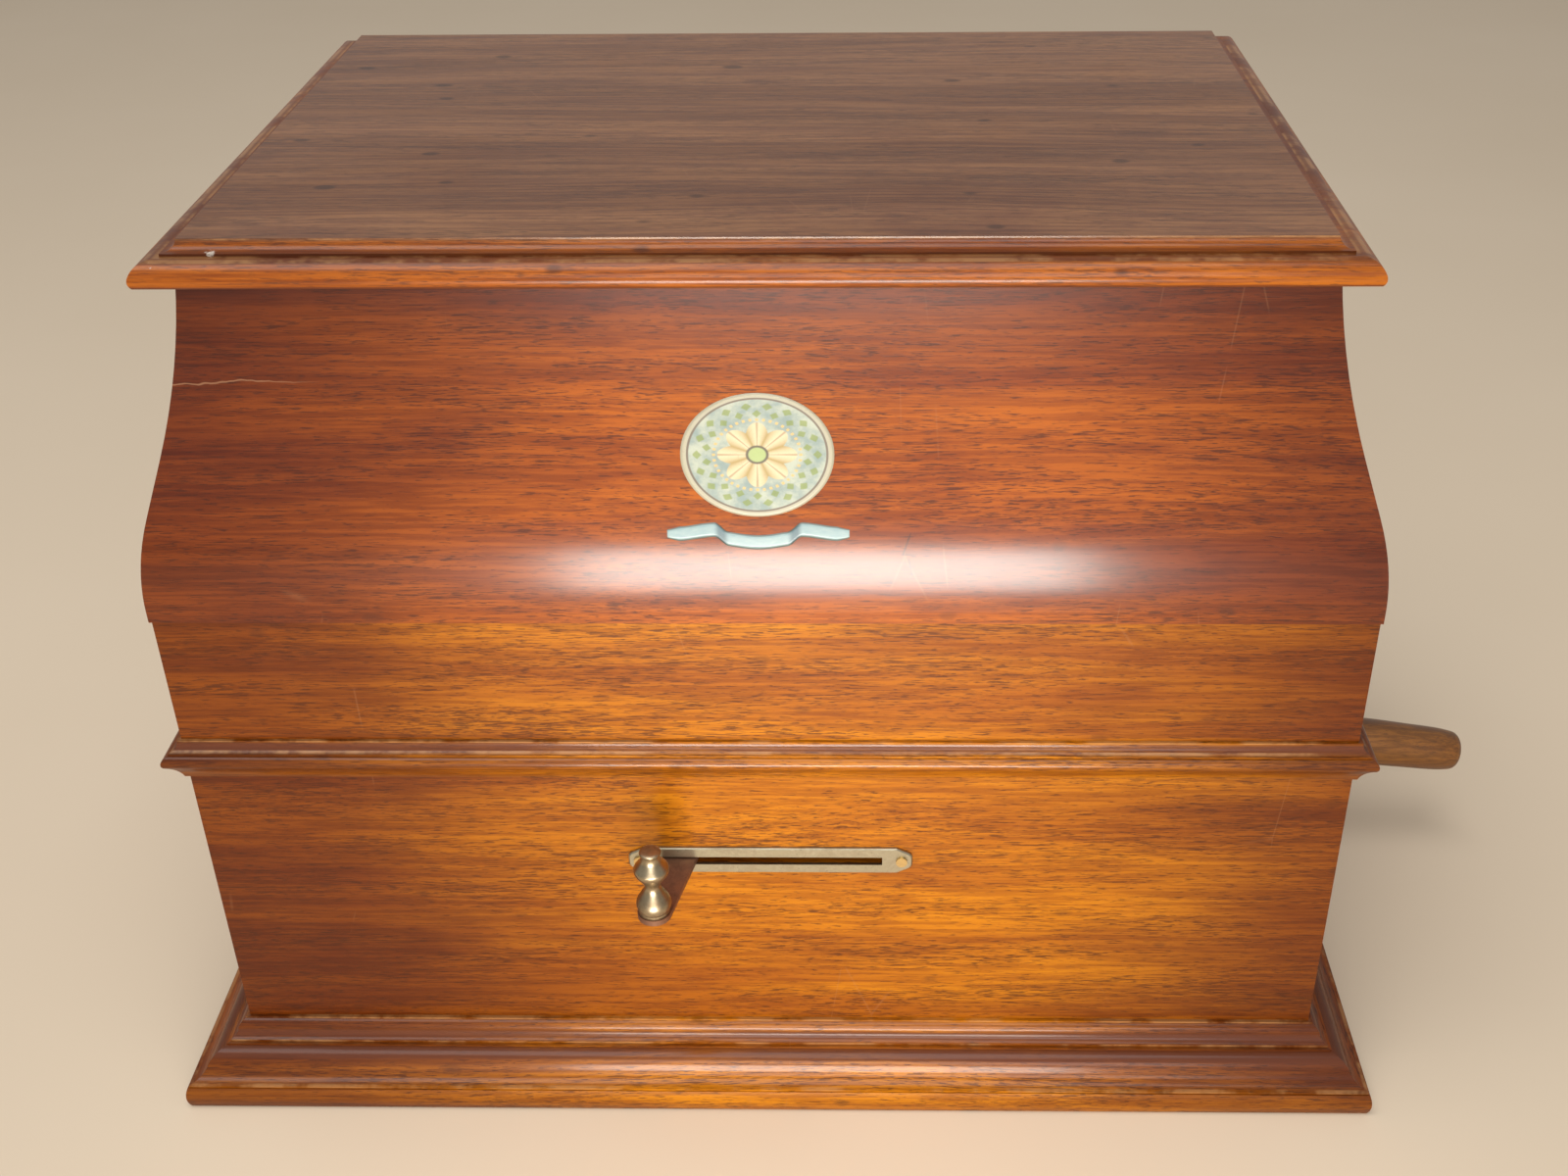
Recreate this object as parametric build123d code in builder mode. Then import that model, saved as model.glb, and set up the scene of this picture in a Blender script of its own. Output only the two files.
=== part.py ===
from build123d import *
from math import acos, asin, atan, cos, degrees, pi, radians, sin, tan
import os

os.makedirs("parts", exist_ok=True)

# A table gramophone with a bombe lid, in millimetres.
# The origin is the centre of the underside, the front faces -Y and +Z is up.

# Case
body_width = 480
body_depth = 340
case_height = 245
panel_thickness = 14
bottom_thickness = 10
block_side = 22
block_height = 45

# Plinth, from its foot to the ledge at the body
plinth_projection = 26
plinth_band_height = 11
plinth_upper_projection = 9.6
plinth_upper_height = 23.4
plinth_height = 32.4
plinth_ledge = 1.6
plinth_quirk = 0.9
plinth_band_bow = 1
plinth_upper_bow = 1.3
plinth_lower_bow = 0.7

# Moulding round the front and the sides, under the upper frame
moulding_drop = 75
moulding_height = 18.2
moulding_projection = 6.4
moulding_nose_height = 7.6
moulding_cove_foot = 13.8
moulding_ledge = 1.5
moulding_lip = 0.8
moulding_quirk = 0.5
moulding_cove_bow = 0.7
moulding_nose_bow = 2

# Lid
seam_gap = 0.3
lid_wall = 13
lid_overhang = 0.9
lid_foot = 5
bombe_radius = 120
bombe_slope = 23
hollow_radius = 320
bombe_turn = 18.5
lid_side_height = 132.5
board_inset = 15.6
top_thickness = 14
field_inset = 29.4
field_cove = 4
top_rail_width = 20
ovolo_rise = 8.6
ovolo_reach = 8.8
ovolo_lip = 0.4
ovolo_foot = 5
ovolo_foot_bow = 0.8
ovolo_bow = 2
field_cove_bow = 1
field_lip = 0.6

# Hinges on the back of the seam
hinge_spacing = 280
hinge_length = 60
hinge_reach = 11
leaf_thickness = 1.5
knuckle_radius = 2.8
knuckle_gap = 0.3
hinge_pin_radius = 1.4
hinge_stand_off = 3.2
lid_leaf_knuckles = 2
base_leaf_knuckles = 3
hinge_screw_radius = 1.6
hinge_screw_length = 12
hinge_screw_inset = 6
hinge_screw_pitch = 20

# Motor board on its cleats
board_drop = 45
board_thickness = 12
board_clearance = 0.3
cleat_side = 12
cleat_gap = 0.3
spindle_hole_radius = 9
board_screw_radius = 2
screw_head_height = 1.2

# Speed lever, its plate and its knob
lever_drop = 119.4
lever_thickness = 2.5
lever_width = 14
lever_turn = 12.7
lever_reach = 209
lever_hub_radius = 12
lever_post = (-17.5, -59.3)
lever_post_reach = 6.85
lever_hub_play = 0.2
lever_neck_rise = 2
lever_post_width = 6
lever_post_thickness = 2
knob_stud_radius = 2
knob_stud_head = 1
slot_length = 95
slot_height = 4
plate_length = 120.6
plate_height = 13.2
plate_thickness = 1.6
plate_bevel = 0.5
plate_screw_inset = 4.6
plate_screw_radius = 1.2
round_head_height = 1
knob_height = 31.5
knob_base_radius = 6.4
knob_bulb_radius = 7.2
knob_waist_radius = 3.4
knob_neck_radius = 4.5
knob_tip_radius = 4.1
knob_ring = 1.5
knob_bulb_height = 4.5
knob_waist_height = 14
knob_head_height = 22.5
knob_neck_height = 26.5
knob_tip_height = 29.5

# Motor
plate_gap = 94
bolt_radius = 2.5
bolt_head_radius = 5
bolt_head_height = 3
motor_plate = 3
motor_left = 52
motor_right = 140
motor_front = 78
motor_back = 68
pillar_radius = 5
pillar_inset = 8
running_fit = 0.05
spindle_radius = 4
spindle_foot = 12
spindle_tip = 14
column_step = 1.5
arbor_radius = 5
journal_radius = 3
arbor_shoulder = 1
shoulder_gap = 0.2
great_module = 1.25
great_teeth = 80
great_width = 6
pinion_teeth = 12
pinion_margin = 1
wheel_module = 1
wheel_teeth = 60
wheel_width = 4
wheel_rise = 9
wheel_overlap = 2
spindle_teeth = 15
tooth_slack = 0.2
addendum = 0.85
dedendum = 1.15
pressure_angle = radians(20)
barrel_offset = 72
barrel_radius = 42
barrel_height = 40
barrel_wall = 3
barrel_foot = 5
spring_thickness = 1.1
spring_turns = 8
spring_gap = 0.1
spring_hub = 3
spring_lift = 1
crown_module = 2
crown_teeth = 24
crown_pinion_teeth = 12
crown_width = 5
crown_slack = 0.6
crown_thickness = 4
crown_rim = 1.5
tooth_root_overlap = 0.1

# Governor across the left of the spindle
worm_starts = 4
worm_radius = 5
worm_wheel_teeth = 50
worm_length = 16
worm_wheel_width = 6
governor_drop = 22
governor_front = 66
governor_back = 18
governor_shaft_radius = 2.5
journal_step = 0.5
weight_radius = 5
weight_orbit = 12
weight_place = 32
disc_radius = 15
disc_thickness = 2
disc_place = 55
bracket_thickness = 5
bracket_drop = 6
collar_spacing = 30
collar_width = 3
collar_radius = 4.5
bow_thickness = 0.4
bow_width = 4
worm_turn = -4
worm_slack = 0.5

# Winding gear and crank
winding_drop = 29.5
coupling_inset = 35
arbor_tail = 5.5
arbor_collar_rim = 2.5
socket_floor = 1
crank_tilt = 7.5
crank_throw = 80
crank_rod_radius = 4.5
crank_bore_slack = 1.7
crank_hole_play = 1
crank_arm_place = 75
crank_arm_thickness = 7
crank_arm_width = 13
grip_start = 79.7
grip_end = 157.2
grip_radius = 11.4
grip_end_radius = 9.3
grip_dome_overhang = 0.7
grip_pin_radius = 3
socket_radius = 9
socket_bore = 5.7
socket_depth = 14
pin_slot_depth = 3
pin_slot_width = 4.4
cross_pin_length = 13
cross_pin_radius = 1.5
crank_tail = 6
crank_arm_fillet = 1.5
winding_bracket_places = (106, 130)
winding_bracket_width = 8
winding_bracket_drop = 9
grip_swell = 132
grip_rounding = 1.5
grip_dome = 5
grip_blind = 7
escutcheon_radius = 16
escutcheon_thickness = 2
escutcheon_screws = 3

# Turntable
platter_radius = 127
platter_gap = 8
platter_depth = 14
platter_thickness = 2.5
platter_hub_radius = 12
felt_inset = 2
felt_thickness = 1.5

# Tonearm and sound box
arm_inset = 75
arm_setback = 55
arm_height = 58
arm_length = 135
arm_root_radius = 12
arm_tip_radius = 9
arm_wall = 1.2
turret_radius = 16
turret_head = 2
neck_radius = 12
neck_height = 46
neck_engagement = 14
flange_radius = 27
flange_thickness = 4
flange_bevel = 2
base_neck_fillet = 3
base_neck_step = 1
base_neck_rise = 6
throat_radius = 14
crook_radius = 7
crook_drop = 2
crook_reach = 34
box_radius = 27
box_depth = 12
stylus_reach = 40
stylus_turn = 49
turret_gap = 0.3
turret_rounding = 6
turret_crown = 5
arm_end = -8
collar_length = 6
ear_thickness = 3
ear_reach = 18
ear_root = 1
arm_pin_end = 1
ear_half_height = 6
arm_pin_radius = 1.5
lift_drop = 12
knuckle_half_width = 8
crook_wall = 1.5
crook_bend = 12
box_offset = 22
box_wall = 2.5
box_back = 2
diaphragm_thickness = 0.6
diaphragm_depth = 3.5
stylus_bar_width = 3
stylus_foot = 1
stylus_bar_overhang = 2
needle_radius = 0.8
chuck_radius = 2.5
chuck_length = 8

# Horn under the motor board and its grille
platter_margin = 3
mouth_margin = 12.5
mouth_depth = 128
horn_wall = 5
duct_wall = 4
duct_small = 42
duct_large_width = 68
duct_large_height = 114
throat_wall = 1.5
throat_bend = 30
throat_drop = 53
throat_overlap = 6
duct_inset = 114
duct_shift = 7
duct_rise = 59
base_tube_depth = 10
base_tube_gap = 0.3
grille_thickness = 2.5
grille_slot_length = 50
grille_slot_width = 16
grille_pitch = 28
grille_margin = 6
grille_slots = 9
cut_margin = 3

# Levels and places that follow from the sizes above
half_width = body_width / 2
half_depth = body_depth / 2
inner_half_width = half_width - panel_thickness
inner_half_depth = half_depth - panel_thickness
board_top = case_height - board_drop
board_underside = board_top - board_thickness
top_plate_underside = board_underside - motor_plate
bottom_plate_top = top_plate_underside - plate_gap
lid_bottom = case_height + seam_gap
lid_side_top = lid_bottom + lid_side_height
winding_height = top_plate_underside - winding_drop
moulding_bottom = case_height - moulding_drop
moulding_top = moulding_bottom + moulding_height
lever_height = case_height - lever_drop
coupling_place = half_width - coupling_inset
arm_base = (half_width - arm_inset, half_depth - arm_setback)
governor_height = top_plate_underside - governor_drop
lever_post_height = governor_height + lever_post_reach - lever_height - lever_thickness / 2
mouth_right = platter_radius + platter_margin
mouth_left = inner_half_width - mouth_margin
mouth_width = mouth_left - mouth_right
mouth_half_depth = inner_half_depth - mouth_margin
mouth_foot = board_underside - mouth_depth
throat_height = board_underside - throat_drop
duct_start = half_width - duct_inset
throat_end = duct_start - throat_overlap
duct_small_y = arm_base[1]
duct_large_y = duct_small_y - duct_shift
duct_large_z = mouth_foot + duct_rise
hinge_axis = (half_depth + hinge_stand_off, case_height + seam_gap / 2)
tall = lid_side_top + top_thickness + 1


def save(piece, name):
    """Label a finished piece and write it."""
    piece.label = name
    export_step(piece, f"parts/{name}.step")


# Each side of the case has an upright plane whose x runs outwards from the body's face
# and whose y is the height, and a mitred wedge of ground plan that its pieces keep inside.
side_planes = {
    "front": Plane((0, -half_depth, 0), x_dir=(0, -1, 0), z_dir=(-1, 0, 0)),
    "back": Plane((0, half_depth, 0), x_dir=(0, 1, 0), z_dir=(1, 0, 0)),
    "left": Plane((-half_width, 0, 0), x_dir=(-1, 0, 0), z_dir=(0, 1, 0)),
    "right": Plane((half_width, 0, 0), x_dir=(1, 0, 0), z_dir=(0, -1, 0)),
}


def wedge(side, outward=50, inward=100):
    """Ground plan between the two mitre lines of a side."""
    wide, near = half_width + outward, half_depth + outward
    slim, far = half_width - inward, half_depth - inward
    if side in ("front", "back"):
        hand = -1 if side == "front" else 1
        return [(-wide, hand * near), (wide, hand * near), (slim, hand * far), (-slim, hand * far)]
    hand = -1 if side == "left" else 1
    return [(hand * wide, -near), (hand * wide, near), (hand * slim, far), (hand * slim, -far)]


def mitred_rail(side, profile):
    """A rail of one section along a side, mitred at both ends."""
    with BuildPart() as rail:
        with BuildSketch(side_planes[side]):
            with BuildLine():
                profile()
            make_face()
        extrude(amount=body_width, both=True)
        with BuildSketch(Plane.XY.offset(-1)):
            Polygon(*wedge(side), align=None)
        extrude(amount=tall + 1, mode=Mode.INTERSECT)
    return rail.part


def panel_profile():
    Polyline(
        (-panel_thickness, 0),
        (0, 0),
        (0, case_height),
        (-panel_thickness, case_height),
        close=True,
    )


def plinth_profile():
    """Rounded band, ledge, cove and swelling, ledge, small cove and swelling, ledge."""
    upper_foot = (plinth_projection - plinth_ledge, plinth_band_height + plinth_quirk)
    upper_head = (plinth_upper_projection, plinth_upper_height - plinth_quirk)
    upper_middle = ((upper_foot[0] + upper_head[0]) / 2, (upper_foot[1] + upper_head[1]) / 2)
    lower_foot = (plinth_upper_projection - plinth_ledge, plinth_upper_height + plinth_quirk)
    lower_head = (plinth_ledge, plinth_height - plinth_quirk)
    lower_middle = ((lower_foot[0] + lower_head[0]) / 2, (lower_foot[1] + lower_head[1]) / 2)
    band = plinth_projection - plinth_band_bow
    Line((0, 0), (band, 0))
    SagittaArc((band, 0), (band, plinth_band_height), -1.2 * plinth_band_bow)
    Polyline((band, plinth_band_height), (upper_foot[0], plinth_band_height), upper_foot)
    SagittaArc(upper_foot, upper_middle, plinth_upper_bow)
    SagittaArc(upper_middle, upper_head, -plinth_upper_bow)
    Line(upper_head, (plinth_upper_projection, plinth_upper_height))
    Line((plinth_upper_projection, plinth_upper_height), (lower_foot[0], plinth_upper_height))
    Line((lower_foot[0], plinth_upper_height), lower_foot)
    SagittaArc(lower_foot, lower_middle, plinth_lower_bow)
    SagittaArc(lower_middle, lower_head, -plinth_lower_bow)
    Line(lower_head, (plinth_ledge, plinth_height))
    Line((plinth_ledge, plinth_height), (0, plinth_height))
    Line((0, plinth_height), (0, 0))


def moulding_profile():
    """Hollow underside, rounded nose, ledge, cove and a thin upper ledge."""
    nose_foot = (moulding_projection, moulding_bottom + moulding_nose_height)
    cove_foot = moulding_bottom + moulding_cove_foot
    ledge = moulding_projection - moulding_ledge
    cove_head = (moulding_ledge, moulding_top - moulding_lip)
    Line((0, moulding_bottom), (moulding_ledge, moulding_bottom))
    SagittaArc((moulding_ledge, moulding_bottom), nose_foot, moulding_cove_bow)
    SagittaArc(nose_foot, (ledge, cove_foot - moulding_lip), -moulding_nose_bow)
    Polyline((ledge, cove_foot - moulding_lip), (ledge, cove_foot), (ledge - moulding_quirk, cove_foot))
    SagittaArc((ledge - moulding_quirk, cove_foot), cove_head, moulding_cove_bow)
    Polyline(cove_head, (moulding_ledge, moulding_top), (0, moulding_top), (0, moulding_bottom))


def bombe_edge(offset):
    """Ends of the swelling lid side, drawn at a distance inside its outer face."""
    lean = sin(radians(bombe_turn))
    swell_radius = bombe_radius - offset
    rise = lid_side_height - lid_foot - swell_radius * lean - bombe_slope * cos(radians(bombe_turn))
    head_turn = degrees(asin(lean - rise / (hollow_radius + offset)))
    edge = lid_overhang - offset
    foot = Line((edge, lid_bottom), (edge, lid_bottom + lid_foot))
    swell = JernArc(foot @ 1, (0, 1), swell_radius, bombe_turn)
    slope = Line(swell @ 1, swell @ 1 + bombe_slope * (swell % 1))
    hollow = JernArc(slope @ 1, slope % 1, hollow_radius + offset, head_turn - bombe_turn)
    return foot @ 0, hollow @ 1


def lid_profile():
    outer_foot, outer_head = bombe_edge(0)
    inner_foot, inner_head = bombe_edge(lid_wall)
    Line(outer_foot, inner_foot)
    Line(outer_head, inner_head)


def top_edge_profile():
    """Moulded edge of the top: ovolo, ledge and a cove up to the flat field."""
    edge = -board_inset
    back = -field_inset - top_rail_width
    top = lid_side_top + top_thickness
    lip = (edge + ovolo_lip, lid_side_top + ovolo_foot)
    ovolo_head = (edge - ovolo_reach, lid_side_top + ovolo_rise)
    cove_foot = (-field_inset + field_cove, top - field_cove)
    field_edge = (-field_inset, top - field_lip)
    Line((back, lid_side_top), (edge, lid_side_top))
    SagittaArc((edge, lid_side_top), lip, -ovolo_foot_bow)
    SagittaArc(lip, ovolo_head, -ovolo_bow)
    Polyline(ovolo_head, (ovolo_head[0], cove_foot[1]), cove_foot)
    SagittaArc(cove_foot, field_edge, field_cove_bow)
    Polyline(field_edge, (-field_inset, top), (back, top), (back, lid_side_top))


# Where the crank's axis crosses the right side, drooping outwards from the coupling
def crank_axis_height(place):
    return winding_height - (place - coupling_place) * tan(radians(crank_tilt))


hinge_places = [(-hinge_spacing / 2, 0), (hinge_spacing / 2, 0)]


def hinge_screw_places():
    across = half_depth - hinge_screw_inset
    return [
        (place[0] + step * hinge_screw_pitch, across)
        for place in hinge_places
        for step in (-1, 0, 1)
    ]


# Case panels
with BuildPart() as front_panel:
    add(mitred_rail("front", panel_profile))
    with BuildSketch(Plane.XZ.offset(half_depth)):
        with Locations((0, lever_height)):
            Rectangle(slot_length, slot_height)
    extrude(amount=-panel_thickness, mode=Mode.SUBTRACT)
save(front_panel.part, "front_panel")

with BuildPart() as back_panel:
    add(mitred_rail("back", panel_profile))
    with BuildSketch(Plane.XY.offset(case_height)):
        with Locations(*hinge_places):
            with Locations((0, half_depth - hinge_reach / 2)):
                Rectangle(hinge_length, hinge_reach)
    extrude(amount=-leaf_thickness, mode=Mode.SUBTRACT)
    with BuildSketch(Plane.XY.offset(case_height)):
        with Locations(*hinge_screw_places()):
            Circle(hinge_screw_radius)
    extrude(amount=-hinge_screw_length, mode=Mode.SUBTRACT)
save(back_panel.part, "back_panel")

save(mitred_rail("left", panel_profile), "left_panel")

with BuildPart() as right_panel:
    middle = half_width - panel_thickness / 2
    add(mitred_rail("right", panel_profile))
    with BuildSketch(Plane.YZ.offset(half_width)):
        with Locations((0, crank_axis_height(middle))):
            Circle(crank_rod_radius + crank_bore_slack + crank_hole_play)
    extrude(amount=-panel_thickness, mode=Mode.SUBTRACT)
save(right_panel.part, "right_panel")

with BuildPart() as bottom_board:
    with BuildSketch():
        Rectangle(2 * inner_half_width, 2 * inner_half_depth)
    extrude(amount=bottom_thickness)
save(bottom_board.part, "bottom_board")

for side in side_planes:
    save(mitred_rail(side, plinth_profile), f"plinth_{side}")

for side in ("front", "left", "right"):
    save(mitred_rail(side, moulding_profile), f"moulding_{side}")

with BuildPart() as inner_blocks:
    with BuildSketch(Plane.XY.offset(bottom_thickness)):
        with GridLocations(
            2 * inner_half_width - block_side, 2 * inner_half_depth - block_side, 2, 2
        ):
            Rectangle(block_side, block_side)
    extrude(amount=block_height)
    with BuildSketch(Plane.XY.offset(board_underside)):
        with GridLocations(0, 2 * inner_half_depth - cleat_side, 1, 2):
            Rectangle(2 * inner_half_width, cleat_side)
        with GridLocations(2 * inner_half_width - cleat_side, 0, 2, 1):
            Rectangle(cleat_side, 2 * (inner_half_depth - cleat_side - cleat_gap))
    extrude(amount=-cleat_side)
save(inner_blocks.part, "inner_blocks")

# Lid: four swelling sides, mitred, under one moulded board
for side in ("front", "left", "right"):
    save(mitred_rail(side, lid_profile), f"lid_{side}")

with BuildPart() as lid_back:
    add(mitred_rail("back", lid_profile))
    with BuildSketch(Plane.XY.offset(lid_bottom)):
        with Locations(*hinge_places):
            with Locations((0, half_depth - hinge_reach / 2 + lid_overhang / 2)):
                Rectangle(hinge_length, hinge_reach + lid_overhang)
    extrude(amount=leaf_thickness, mode=Mode.SUBTRACT)
    with BuildSketch(Plane.XY.offset(lid_bottom)):
        with Locations(*hinge_screw_places()):
            Circle(hinge_screw_radius)
    extrude(amount=hinge_screw_length, mode=Mode.SUBTRACT)
save(lid_back.part, "lid_back")

with BuildPart() as lid_top:
    with BuildSketch(Plane.XY.offset(lid_side_top)):
        Rectangle(
            body_width - 2 * field_inset - top_rail_width,
            body_depth - 2 * field_inset - top_rail_width,
        )
    extrude(amount=top_thickness)
    for side in side_planes:
        add(mitred_rail(side, top_edge_profile))
save(lid_top.part, "lid_top")


# Hinges: knuckles shared between the two leaves, round one pin
def hinge_leaves(level, knuckles, first):
    """Both hinges' leaves of one body, with every second knuckle."""
    count = lid_leaf_knuckles + base_leaf_knuckles
    pitch = (hinge_length + knuckle_gap) / count
    length = pitch - knuckle_gap
    middle_y, middle_z = hinge_axis
    with BuildPart() as leaves:
        with BuildSketch(Plane.XY.offset(level)):
            with Locations(*hinge_places):
                with Locations((0, half_depth - hinge_reach / 2)):
                    Rectangle(hinge_length, hinge_reach)
                with Locations(*knuckle_places(knuckles, first, pitch, half_depth)):
                    Rectangle(length, 2 * hinge_stand_off)
        extrude(amount=leaf_thickness)
        for place in hinge_places:
            for x, _ in knuckle_places(knuckles, first, pitch, 0):
                start = place[0] + x - length / 2
                with BuildSketch(Plane.YZ.offset(start)):
                    with Locations((middle_y, middle_z)):
                        Circle(knuckle_radius)
                extrude(amount=length)
                with BuildSketch(Plane.YZ.offset(start)):
                    with Locations((middle_y, middle_z)):
                        Circle(hinge_pin_radius + running_fit)
                extrude(amount=length, mode=Mode.SUBTRACT)
        with BuildSketch(Plane.XY.offset(level)):
            with Locations(*hinge_screw_places()):
                Circle(hinge_screw_radius)
        extrude(amount=leaf_thickness, mode=Mode.SUBTRACT)
    return leaves.part


def knuckle_places(knuckles, first, pitch, level_y):
    """Places of one leaf's knuckles along the hinge, counted from its left end."""
    start = -(hinge_length + knuckle_gap) / 2 + pitch / 2
    return [(start + pitch * (first + 2 * k), level_y) for k in range(knuckles)]


base_leaf_foot = case_height - leaf_thickness
save(hinge_leaves(base_leaf_foot, base_leaf_knuckles, 0), "hinge_base_leaves")
save(hinge_leaves(lid_bottom, lid_leaf_knuckles, 1), "hinge_lid_leaves")

with BuildPart() as hinge_pins:
    for place in hinge_places:
        with BuildSketch(Plane.YZ.offset(place[0] - hinge_length / 2)):
            with Locations(hinge_axis):
                Circle(hinge_pin_radius)
        extrude(amount=hinge_length)
save(hinge_pins.part, "hinge_pins")

with BuildPart() as lid_hinge_screws:
    with BuildSketch(Plane.XY.offset(lid_bottom)):
        with Locations(*hinge_screw_places()):
            Circle(hinge_screw_radius)
    extrude(amount=hinge_screw_length)
save(lid_hinge_screws.part, "lid_hinge_screws")

# Motor board, resting on the cleats
mouth_middle = -mouth_right - mouth_width / 2
cut_width = mouth_width - 2 * horn_wall - 2 * cut_margin
cut_depth = 2 * (mouth_half_depth - horn_wall - cut_margin)
pillar_places = [
    (x, y)
    for x in (-motor_left + pillar_inset, motor_right - pillar_inset)
    for y in (-motor_front + pillar_inset, motor_back - pillar_inset)
]
board_screw_places = [
    (x * (inner_half_width - cleat_side / 2), y * (inner_half_depth - cleat_side / 2))
    for x in (-1, 1)
    for y in (-1, 1)
]

with BuildPart() as motor_board:
    with BuildSketch(Plane.XY.offset(board_underside)):
        Rectangle(
            2 * (inner_half_width - board_clearance), 2 * (inner_half_depth - board_clearance)
        )
        with Locations((mouth_middle, 0)):
            Rectangle(cut_width, cut_depth, mode=Mode.SUBTRACT)
        Circle(spindle_hole_radius, mode=Mode.SUBTRACT)
        with Locations(arm_base):
            Circle(throat_radius, mode=Mode.SUBTRACT)
        with Locations(*pillar_places):
            Circle(bolt_radius, mode=Mode.SUBTRACT)
        with Locations(*board_screw_places):
            Circle(board_screw_radius, mode=Mode.SUBTRACT)
    extrude(amount=board_thickness)
save(motor_board.part, "motor_board")

with BuildPart() as case_screws:
    with BuildSketch(Plane.XY.offset(board_top)):
        with Locations(*board_screw_places):
            Circle(2 * board_screw_radius)
    extrude(amount=screw_head_height)
    with BuildSketch(Plane.XY.offset(board_top)):
        with Locations(*board_screw_places):
            Circle(board_screw_radius)
    extrude(amount=-board_thickness)
    with BuildSketch(Plane.XY.offset(case_height)):
        with Locations(*hinge_screw_places()):
            Circle(hinge_screw_radius)
    extrude(amount=-hinge_screw_length)
save(case_screws.part, "case_screws")

# Plate round the speed lever's slot: pointed ends with rounded tips and a bevelled face
plate_face = Plane((0, -half_depth, lever_height), x_dir=(1, 0, 0), z_dir=(0, -1, 0))
plate_screw_places = [(x * (plate_length / 2 - plate_screw_inset), 0) for x in (-1, 1)]

with BuildPart() as lever_plate:
    with BuildSketch(plate_face):
        with BuildLine():
            tip = plate_length / 2
            shoulder = tip - plate_height / 2
            Polyline(
                (-shoulder, -plate_height / 2),
                (shoulder, -plate_height / 2),
                (tip, -plate_height / 4),
                (tip, plate_height / 4),
                (shoulder, plate_height / 2),
                (-shoulder, plate_height / 2),
                (-tip, plate_height / 4),
                (-tip, -plate_height / 4),
                close=True,
            )
        make_face()
    extrude(amount=plate_thickness)
    fillet(lever_plate.edges().filter_by(Axis.Y).group_by(Axis.X)[0], plate_height / 4 - 0.1)
    fillet(lever_plate.edges().filter_by(Axis.Y).group_by(Axis.X)[-1], plate_height / 4 - 0.1)
    chamfer(lever_plate.faces().sort_by(Axis.Y)[0].edges(), plate_bevel)
    with BuildSketch(plate_face):
        Rectangle(slot_length, slot_height)
        with Locations(*plate_screw_places):
            Circle(plate_screw_radius)
    extrude(amount=plate_thickness, mode=Mode.SUBTRACT)
save(lever_plate.part, "lever_plate")

# Round escutcheon for the crank on the right side
crank_hole_height = crank_axis_height(half_width + escutcheon_thickness / 2)
escutcheon_face = Plane((half_width, 0, crank_hole_height), x_dir=(0, 1, 0), z_dir=(1, 0, 0))
escutcheon_screw_circle = (escutcheon_radius + crank_rod_radius + crank_bore_slack) / 2

with BuildPart() as crank_escutcheon:
    with BuildSketch(escutcheon_face):
        Circle(escutcheon_radius)
    extrude(amount=escutcheon_thickness)
    chamfer(crank_escutcheon.faces().sort_by(Axis.X)[-1].edges(), plate_bevel)
    with BuildSketch(escutcheon_face):
        Circle(crank_rod_radius + crank_bore_slack)
        with PolarLocations(escutcheon_screw_circle, escutcheon_screws, start_angle=90):
            Circle(plate_screw_radius)
    extrude(amount=escutcheon_thickness, mode=Mode.SUBTRACT)
save(crank_escutcheon.part, "crank_escutcheon")

with BuildPart() as plate_screws:
    with BuildSketch(plate_face):
        with Locations(*plate_screw_places):
            Circle(plate_screw_radius)
    extrude(amount=plate_thickness)
    with BuildSketch(plate_face.offset(plate_thickness)):
        with Locations(*plate_screw_places):
            Circle(2 * plate_screw_radius)
    extrude(amount=round_head_height)
    with BuildSketch(escutcheon_face):
        with PolarLocations(escutcheon_screw_circle, escutcheon_screws, start_angle=90):
            Circle(plate_screw_radius)
    extrude(amount=escutcheon_thickness)
    with BuildSketch(escutcheon_face.offset(escutcheon_thickness)):
        with PolarLocations(escutcheon_screw_circle, escutcheon_screws, start_angle=90):
            Circle(2 * plate_screw_radius)
    extrude(amount=round_head_height)
save(plate_screws.part, "plate_screws")


# Motor frame under the board: two plates, four pillars and the bolts through the board
def involute(angle):
    return tan(angle) - angle


def tooth_outline(teeth, module, turn, slack):
    """Straight-flanked teeth cut from involutes of 20 degrees, one tooth centred at turn."""
    pitch = module * teeth / 2
    tip = pitch + addendum * module
    root = pitch - dedendum * module
    base = pitch * cos(pressure_angle)
    points = []
    for tooth in range(teeth):
        centre = radians(turn) + 2 * pi * tooth / teeth
        for radius, hand in ((root, -1), (tip, -1), (tip, 1), (root, 1)):
            lean = involute(pressure_angle) - involute(acos(min(1, base / radius)))
            half = (pi * module / 2 - slack) / (2 * pitch) + lean
            points.append(
                (radius * cos(centre + hand * half), radius * sin(centre + hand * half))
            )
    return points


# The intermediate arbor stands where its pinion meets the barrel and its wheel the spindle
barrel_reach = great_module * (great_teeth + pinion_teeth) / 2
wheel_reach = wheel_module * (wheel_teeth + spindle_teeth) / 2
middle_x = (wheel_reach**2 - barrel_reach**2 + barrel_offset**2) / (2 * barrel_offset)
middle_y = (wheel_reach**2 - middle_x**2) ** 0.5
middle_place = (middle_x, middle_y)
barrel_place = (barrel_offset, 0)
to_middle = degrees(pi - atan(middle_y / (barrel_offset - middle_x)))
to_spindle = 180 + degrees(atan(middle_y / middle_x))

barrel_bottom = bottom_plate_top + barrel_foot
barrel_top = barrel_bottom + barrel_height
great_bottom = barrel_top - great_width - barrel_wall
wheel_bottom = barrel_top + wheel_rise
spindle_bottom = bottom_plate_top + spindle_foot
hub_seat = lever_height - lever_thickness / 2 - lever_hub_play
column_radius = 2 * spindle_radius
column_neck_radius = column_radius - column_step

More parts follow.
